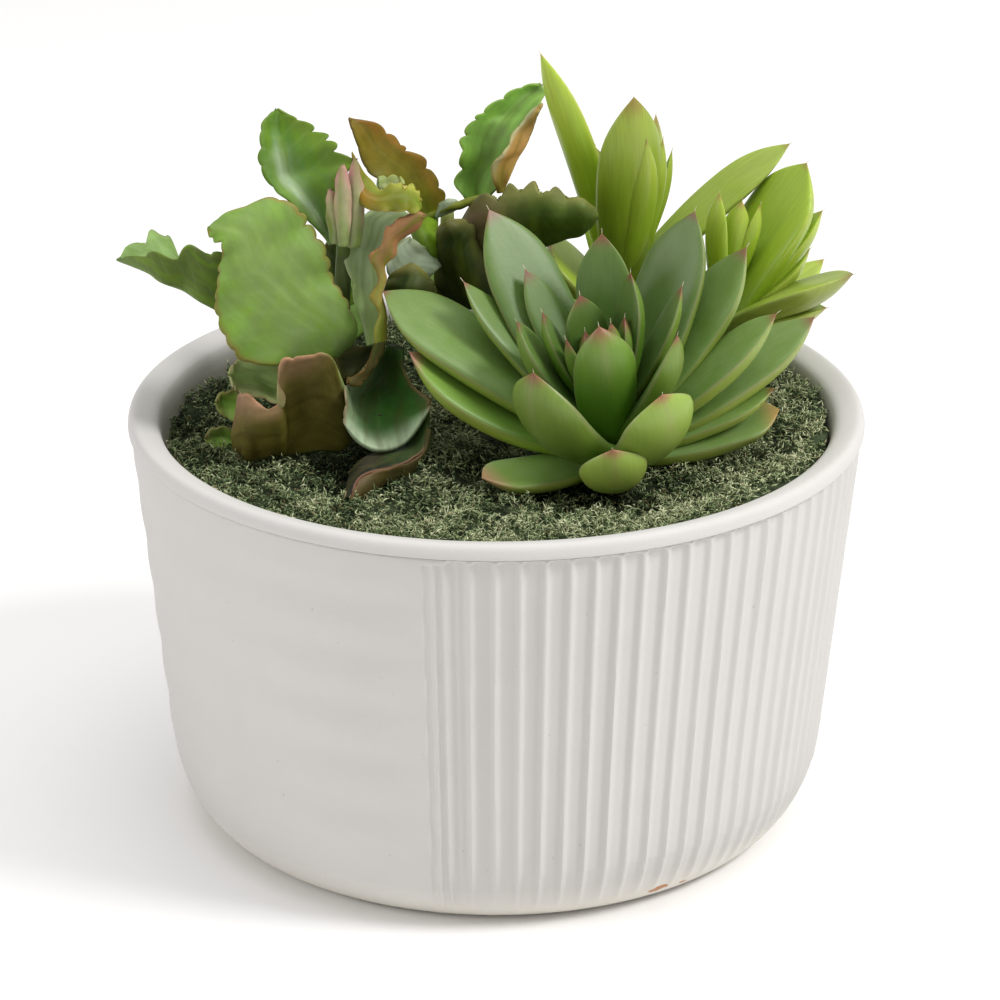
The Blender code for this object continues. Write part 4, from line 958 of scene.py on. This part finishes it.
backLeaves = [
    dict(colours=oliveTints, last=evenNotches(6, 0.4),
         first=[(0.29, 1.8), (0.43, 1.8), (0.6, 1.5), (0.65, 0.6), (0.76, 1.5), (0.93, 0.5)], net=[
        (-15, 27, 135, -16, 27, 134, -17, 26, 135), (-14, 26, 142, -17, 25, 141, -20, 22, 141),
        (-12, 26, 148, -18, 24, 146, -22, 19, 147), (-15, 25, 153, -20, 22, 151, -25, 16, 151),
        (-17, 24, 157, -23, 20, 156, -28, 13, 155), (-22, 21, 161, -27, 17, 160, -31, 12, 158),
        (-25, 19, 165, -30, 15, 164, -33, 11, 163), (-29, 15, 169, -32, 13, 168, -34, 10, 167),
        (-34, 12, 171, -35, 11, 171, -35, 10, 171)]),
    dict(colours=tallTints, first=evenNotches(4, 0.2), ruffle=(0.3, 3.0),
         last=[(0.27, 3.2), (0.37, 0.8), (0.475, 1.8), (0.6, 1.1), (0.655, 1.6), (0.77, 1.5),
               (0.88, 1.0)], net=[
        (-4, 31, 141, -5, 32, 141, -6, 31, 141), (-1, 30, 146, -5, 34, 144, -8, 31, 145),
        (3, 29, 150, -4, 35, 149, -11, 32, 149), (5, 29, 155, -2, 36, 153, -9, 32, 155),
        (7, 30, 158, -1, 37, 157, -9, 33, 159), (9, 32, 162, 1, 38, 161, -7, 35, 162),
        (10, 34, 165, 3, 40, 163, -4, 37, 165), (11, 37, 167, 6, 41, 166, 1, 39, 168),
        (12, 40, 168, 9, 43, 168, 6, 41, 170), (12, 42, 170, 11, 43, 170, 11, 43, 171)]),
    dict(colours=tallFlapTints, first=[(0.6, 0.2)], last=[(0.42, 1.0), (0.55, 1.1), (0.75, 1.2)], net=[
        (2, 30, 147, 1, 29, 147, 0, 29, 147), (3, 28, 150, 1, 28, 151, -1, 27, 151),
        (5, 28, 155, 2, 28, 155, -1, 27, 155), (7, 29, 158, 4, 28, 158, 2, 28, 158),
        (9, 31, 162, 6, 30, 162, 4, 29, 162), (10, 33, 165, 9, 32, 165, 7, 32, 165),
        (11, 36, 168, 11, 36, 167, 10, 36, 167)]),
    dict(colours=lobedTints, thick=2.4, end=0.95, lobe=(1.1, 0.9), first=evenNotches(5, 0.3),
         last=[(0.25, 6.0), (0.41, 3.4), (0.583, 6.5), (0.765, 5.0)], ruffle=(0.2, 5.0), net=[
        (-8, 24, 133, -9, 25, 136, -8, 26, 140), (-5, 20, 133, -6, 17, 142, -5, 19, 148),
        (-2, 17, 134, -3, 13, 145, -2, 15, 152), (1, 17, 134, 0, 12, 145, 1, 15, 153),
        (3, 16, 134, 3, 12, 145, 3, 14, 154), (6, 16, 134, 6, 11, 146, 6, 14, 155),
        (9, 14, 136, 8, 10, 147, 9, 13, 155), (11, 14, 137, 11, 10, 148, 11, 12, 155),
        (14, 13, 139, 14, 9, 148, 14, 12, 154), (17, 13, 140, 17, 9, 148, 17, 12, 153),
        (20, 12, 141, 20, 8, 149, 20, 11, 152), (22, 12, 143, 22, 9, 148, 22, 11, 150),
        (24, 12, 145, 24, 11, 147, 24, 12, 148)]),
    dict(colours=paintedShadeTints, thick=2.4, first=[(0.45, 0.8), (0.7, 1.8)], last=[(0.3, 1.0), (0.6, 1.0)], net=[
        (1, 18, 122, -6, 17, 122, -12, 18, 122), (-1, 17, 129, -8, 13, 129, -15, 16, 127),
        (-4, 15, 139, -10, 10, 138, -16, 15, 134), (-5, 14, 143, -10, 9, 142, -15, 14, 138),
        (-7, 13, 145, -11, 8, 145, -14, 13, 142), (-9, 13, 144, -11, 11, 145, -13, 13, 144)]),
    dict(colours=paintedShadeTints, first=evenNotches(3, 0.5), last=evenNotches(3, 0.5), net=[
        (-16, -1, 128, -20, -2, 128, -23, -1, 127), (-14, -1, 131, -21, -4, 133, -27, -1, 132),
        (-15, 0, 134, -20, -2, 136, -26, 0, 135), (-17, 1, 136, -20, 1, 138, -23, 1, 137)]),
    dict(colours=paleTints, first=evenNotches(3, 0.3), last=evenNotches(3, 0.3), net=[
        (-13, 12, 134, -15, 11, 133, -17, 11, 131), (-16, 11, 138, -20, 8, 135, -23, 5, 131),
        (-19, 9, 141, -23, 6, 138, -26, 3, 135), (-21, 8, 143, -24, 6, 141, -27, 3, 139)]),
    dict(colours=paleTints, first=evenNotches(3, 0.3), last=evenNotches(3, 0.5), net=[
        (-15, 20, 143, -14, 20, 145, -14, 20, 147), (-12, 20, 144, -12, 19, 147, -12, 20, 148),
        (-10, 20, 145, -10, 20, 147, -10, 20, 148), (-9, 20, 146, -9, 20, 146, -9, 20, 147)]),
    dict(colours=limeTints, first=evenNotches(3, 0.6), last=evenNotches(3, 0.6), net=[
        (-14, 22, 143, -16, 22, 143, -18, 22, 142), (-14, 16, 140, -18, 14, 142, -21, 16, 142),
        (-13, 14, 137, -16, 11, 138, -19, 13, 138), (-13, 13, 135, -14, 13, 134, -15, 13, 135)]),
    dict(colours=stalkTints, first=[(0.5, 0.1)], last=[(0.5, 0.1)], net=[
        (-17, 22, 142, -17, 21, 143, -17, 22, 143), (-12, 20, 145, -12, 19, 146, -12, 20, 146),
        (-8, 20, 146, -8, 19, 147, -8, 20, 148), (-3, 20, 148, -3, 19, 149, -3, 20, 149)]),
    dict(colours=paintedShadeTints, height=116, turn=-40, rise=36, length=26, width=17, roll=-10, teeth=4),
    dict(colours=greenTints, height=112, turn=175, rise=24, length=36, width=24, ruffle=1.6, bend=-30,
         notch=1.6),
]
lowLeaves = [
    dict(colours=wallTints, thick=1.5, end=0.97, first=[(0.5, 0.1)], ruffle=(0.3, 4.0),
         last=[(0.22, 0.4), (0.33, 0.9), (0.43, 0.8), (0.49, 0.6), (0.66, 0.4), (0.85, 0.6)], net=[
        (-34, -16, 100, -35, -17, 104, -35, -18, 109, -36, -20, 114),
        (-37, -17, 97, -37, -19, 107, -38, -20, 115, -38, -22, 122),
        (-42, -17, 97, -42, -20, 110, -41, -22, 118, -41, -24, 125),
        (-46, -16, 96, -46, -18, 108, -45, -21, 117, -45, -24, 124),
        (-49, -15, 95, -49, -18, 106, -49, -21, 116, -49, -24, 124),
        (-51, -15, 95, -50, -17, 103, -51, -20, 111, -51, -22, 121),
        (-51, -15, 95, -51, -18, 101, -51, -21, 108, -50, -20, 113),
        (-54, -16, 95, -53, -19, 101, -53, -22, 107, -53, -21, 110),
        (-57, -17, 95, -57, -21, 101, -57, -22, 107, -56, -21, 111),
        (-60, -16, 94, -59, -20, 101, -59, -20, 107, -59, -19, 113),
        (-61, -13, 94, -61, -16, 99, -61, -16, 105, -61, -15, 111),
        (-63, -10, 93, -63, -11, 97, -63, -11, 100, -62, -10, 104)]),
    dict(colours=hollowTints, end=1.0, first=evenNotches(6, 0.5), last=[(0.6, 0.6), (0.8, 1.2)],
         ruffle=(0.4, 2.0), net=[
        (-26, -6, 120, -25, -6, 120, -24, -7, 120, -23, -8, 120, -22, -9, 120),
        (-30, -9, 115, -28, -4, 114, -26, -3, 114, -24, -5, 115, -22, -10, 115),
        (-35, -14, 113, -31, -6, 109, -28, -4, 109, -24, -6, 110, -20, -13, 113),
        (-36, -20, 115, -34, -12, 108, -28, -9, 106, -22, -11, 108, -17, -17, 112),
        (-36, -23, 111, -33, -19, 105, -28, -17, 103, -22, -18, 106, -15, -20, 111),
        (-36, -24, 107, -32, -24, 102, -27, -24, 100, -21, -23, 102, -15, -21, 110)]),
    dict(colours=crescentTints, end=0.96, first=evenNotches(3, 0.2), last=evenNotches(5, 0.4), net=[
        (-21, -14, 104, -18, -16, 106, -16, -19, 108), (-23, -15, 101, -19, -18, 103, -16, -22, 105),
        (-25, -17, 98, -20, -21, 100, -17, -25, 101), (-28, -20, 98, -24, -25, 99, -20, -28, 99),
        (-31, -23, 98, -27, -28, 98, -24, -31, 99), (-34, -27, 97, -31, -32, 98, -28, -34, 99),
        (-35, -32, 96, -33, -36, 97, -32, -37, 98), (-35, -38, 94, -35, -39, 94, -34, -40, 95)]),
    dict(colours=footTints, first=evenNotches(5, 0.3), last=evenNotches(3, 0.2), net=[
        (-16, -22, 105, -16, -22, 104, -16, -21, 102), (-17, -25, 101, -17, -24, 100, -18, -23, 98),
        (-20, -28, 99, -20, -27, 97, -20, -26, 95), (-24, -31, 99, -24, -30, 97, -24, -29, 94),
        (-28, -34, 99, -27, -33, 97, -27, -32, 94), (-32, -37, 98, -31, -37, 96, -31, -36, 93),
        (-34, -40, 95, -34, -40, 94, -33, -39, 92)]),
    dict(colours=curledTints, first=[(0.3, 0.6), (0.5, 0.6), (0.75, 0.8)], last=evenNotches(3, 0.5), net=[
        (-26, -12, 123, -28, -12, 123, -29, -12, 123), (-27, -13, 120, -29, -13, 120, -30, -13, 120),
        (-29, -14, 117, -30, -14, 117, -31, -14, 118), (-31, -15, 114, -33, -15, 115, -33, -15, 116),
        (-33, -16, 113, -35, -16, 114, -36, -15, 115)]),
    dict(colours=paintedShadeTints, first=evenNotches(3, 0.5), last=evenNotches(3, 0.5), net=[
        (-30, -5, 116, -30, -4, 118, -29, -4, 119), (-34, -8, 113, -33, -6, 116, -33, -6, 120),
        (-37, -9, 112, -37, -7, 116, -37, -7, 119), (-39, -9, 116, -39, -8, 117, -39, -8, 119)]),
    dict(colours=paintedLightBackTints, first=evenNotches(4, 0.9), last=evenNotches(5, 0.9), net=[
        (-40, -6, 110, -40, -5, 108, -40, -6, 105), (-50, -4, 115, -52, -3, 108, -52, -9, 106),
        (-57, -4, 116, -58, -2, 110, -57, -10, 108), (-61, -4, 116, -62, -3, 111, -62, -9, 109),
        (-64, -5, 114, -64, -5, 112, -63, -8, 110)]),
    dict(stubLeaf, net=[
        (-60, -8, 104, -60, -8, 102, -60, -8, 101), (-62, -8, 109, -62, -7, 105, -62, -9, 101),
        (-65, -8, 109, -66, -6, 106, -65, -8, 102), (-67, -8, 107, -67, -8, 106, -67, -8, 104)]),
    dict(stubLeaf, net=[
        (-62, -6, 97, -62, -6, 95, -62, -6, 93), (-65, -6, 99, -65, -5, 96, -65, -8, 93),
        (-68, -6, 99, -68, -5, 96, -68, -7, 93), (-70, -6, 97, -70, -6, 96, -70, -6, 94)]),
]
toothedStems = [
    {"name": "left_toothed_leaves", "node": "left_toothed_stem", "slot": "green_toothed_leaf", "seed": 21,
     "foot": (-37.0, 2.0), "bends": [(-37, -1, 120), (-36, -4, 150)], "radii": (2.6, 2.6, 2.2, 1.6),
     # the left stem is dark olive: painted shade where it runs between the wide and the inner leaf
     "stemColour": "#414f1c", "leaves": leftLeaves,
     "look": {"gloss": 0.52, "veins": 0.07, "veinColour": "#b0bc8c", "bloom": "#a5b28a",
              "warm": "#6f9608", "warmth": 0.6}},
    {"name": "back_toothed_leaves", "node": "back_toothed_stem", "slot": "olive_toothed_leaf", "seed": 22,
     "foot": (-12.0, 30.0), "bends": [(-12, 28, 120), (-12, 30, 142)], "radii": (2.6, 2.6, 2.2, 1.6),
     "stemColour": "#6a7434", "leaves": backLeaves,
     "look": {"gloss": 0.52, "veins": 0.05, "veinColour": "#9a9a5a", "bloom": "#9a9486",
              "warm": "#64720e", "warmth": 0.35}},
    {"name": "low_toothed_leaves", "node": "low_toothed_stem", "slot": "bronze_toothed_leaf", "seed": 23,
     "foot": (-26.0, -19.0), "bends": [(-27, -15, 101), (-27, -12, 105)], "radii": (2.6, 2.6, 2.4, 1.8),
     "stemColour": "#2c2a14", "leaves": lowLeaves,
     "look": {"gloss": 0.55, "veins": 0.05, "veinColour": "#9a9a62", "bloom": "#a0a08a",
              "warm": "#5c5014", "warmth": 0.35}},
]


def makeToothedStem(stem):
    draw = np.random.default_rng(stem["seed"])
    line = stemLine(stem["foot"], stem["bends"])
    parts = [stemTube(line, stem["radii"], stem["stemColour"], draw)]
    for leaf in stem["leaves"]:
        shape = dict(leaf)
        colours, thick = shape.pop("colours"), shape.pop("thick", 1.2)
        if "net" in shape:
            net = np.array(shape.pop("net"), float).reshape(len(leaf["net"]), -1, 3)
            length = np.linalg.norm(np.diff(net[:, 1], axis=0), axis=-1).sum()
            surface = netSurface(net, **shape)
        else:
            length, height = shape["length"], shape.pop("height")
            surface = bladeSurface([np.interp(height, line[:, 2], line[:, k]) for k in range(3)], **shape)
        parts.append(leafSolid(surface, length, colours, draw, thick))
    material = toothedMaterial(stem["name"].replace("_", " "), stem["look"])
    makePiece(stem["name"], parts, material, stem["node"], stem["slot"])


# The whole dish garden

makeStudio()
makeBowl()
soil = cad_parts["potting_soil"]
soil.data.materials.clear()
soil.data.materials.append(soilMaterial())
makeMossMat(mossMaterial("moss mat", 1.0))
strandMaterial = mossMaterial("preserved moss fibre", 0.85)
for index in range(moss["pieces"]):
    makeStrands(index, strandMaterial)
makeHead("rosette_leaves", "rosette", rosette, fleshyMaterial("rosette leaf skin", rosette["material"]),
         "rosette_leaf")
pointedSkin = fleshyMaterial("pointed leaf skin", pointed["material"])
makeHead("left_head_leaves", "left_pointed_head", leftHead, pointedSkin, "pointed_leaf")
makeHead("right_head_leaves", "right_pointed_head", rightHead, pointedSkin, "pointed_leaf")
for stem in toothedStems:
    makeToothedStem(stem)

print("all pieces made")
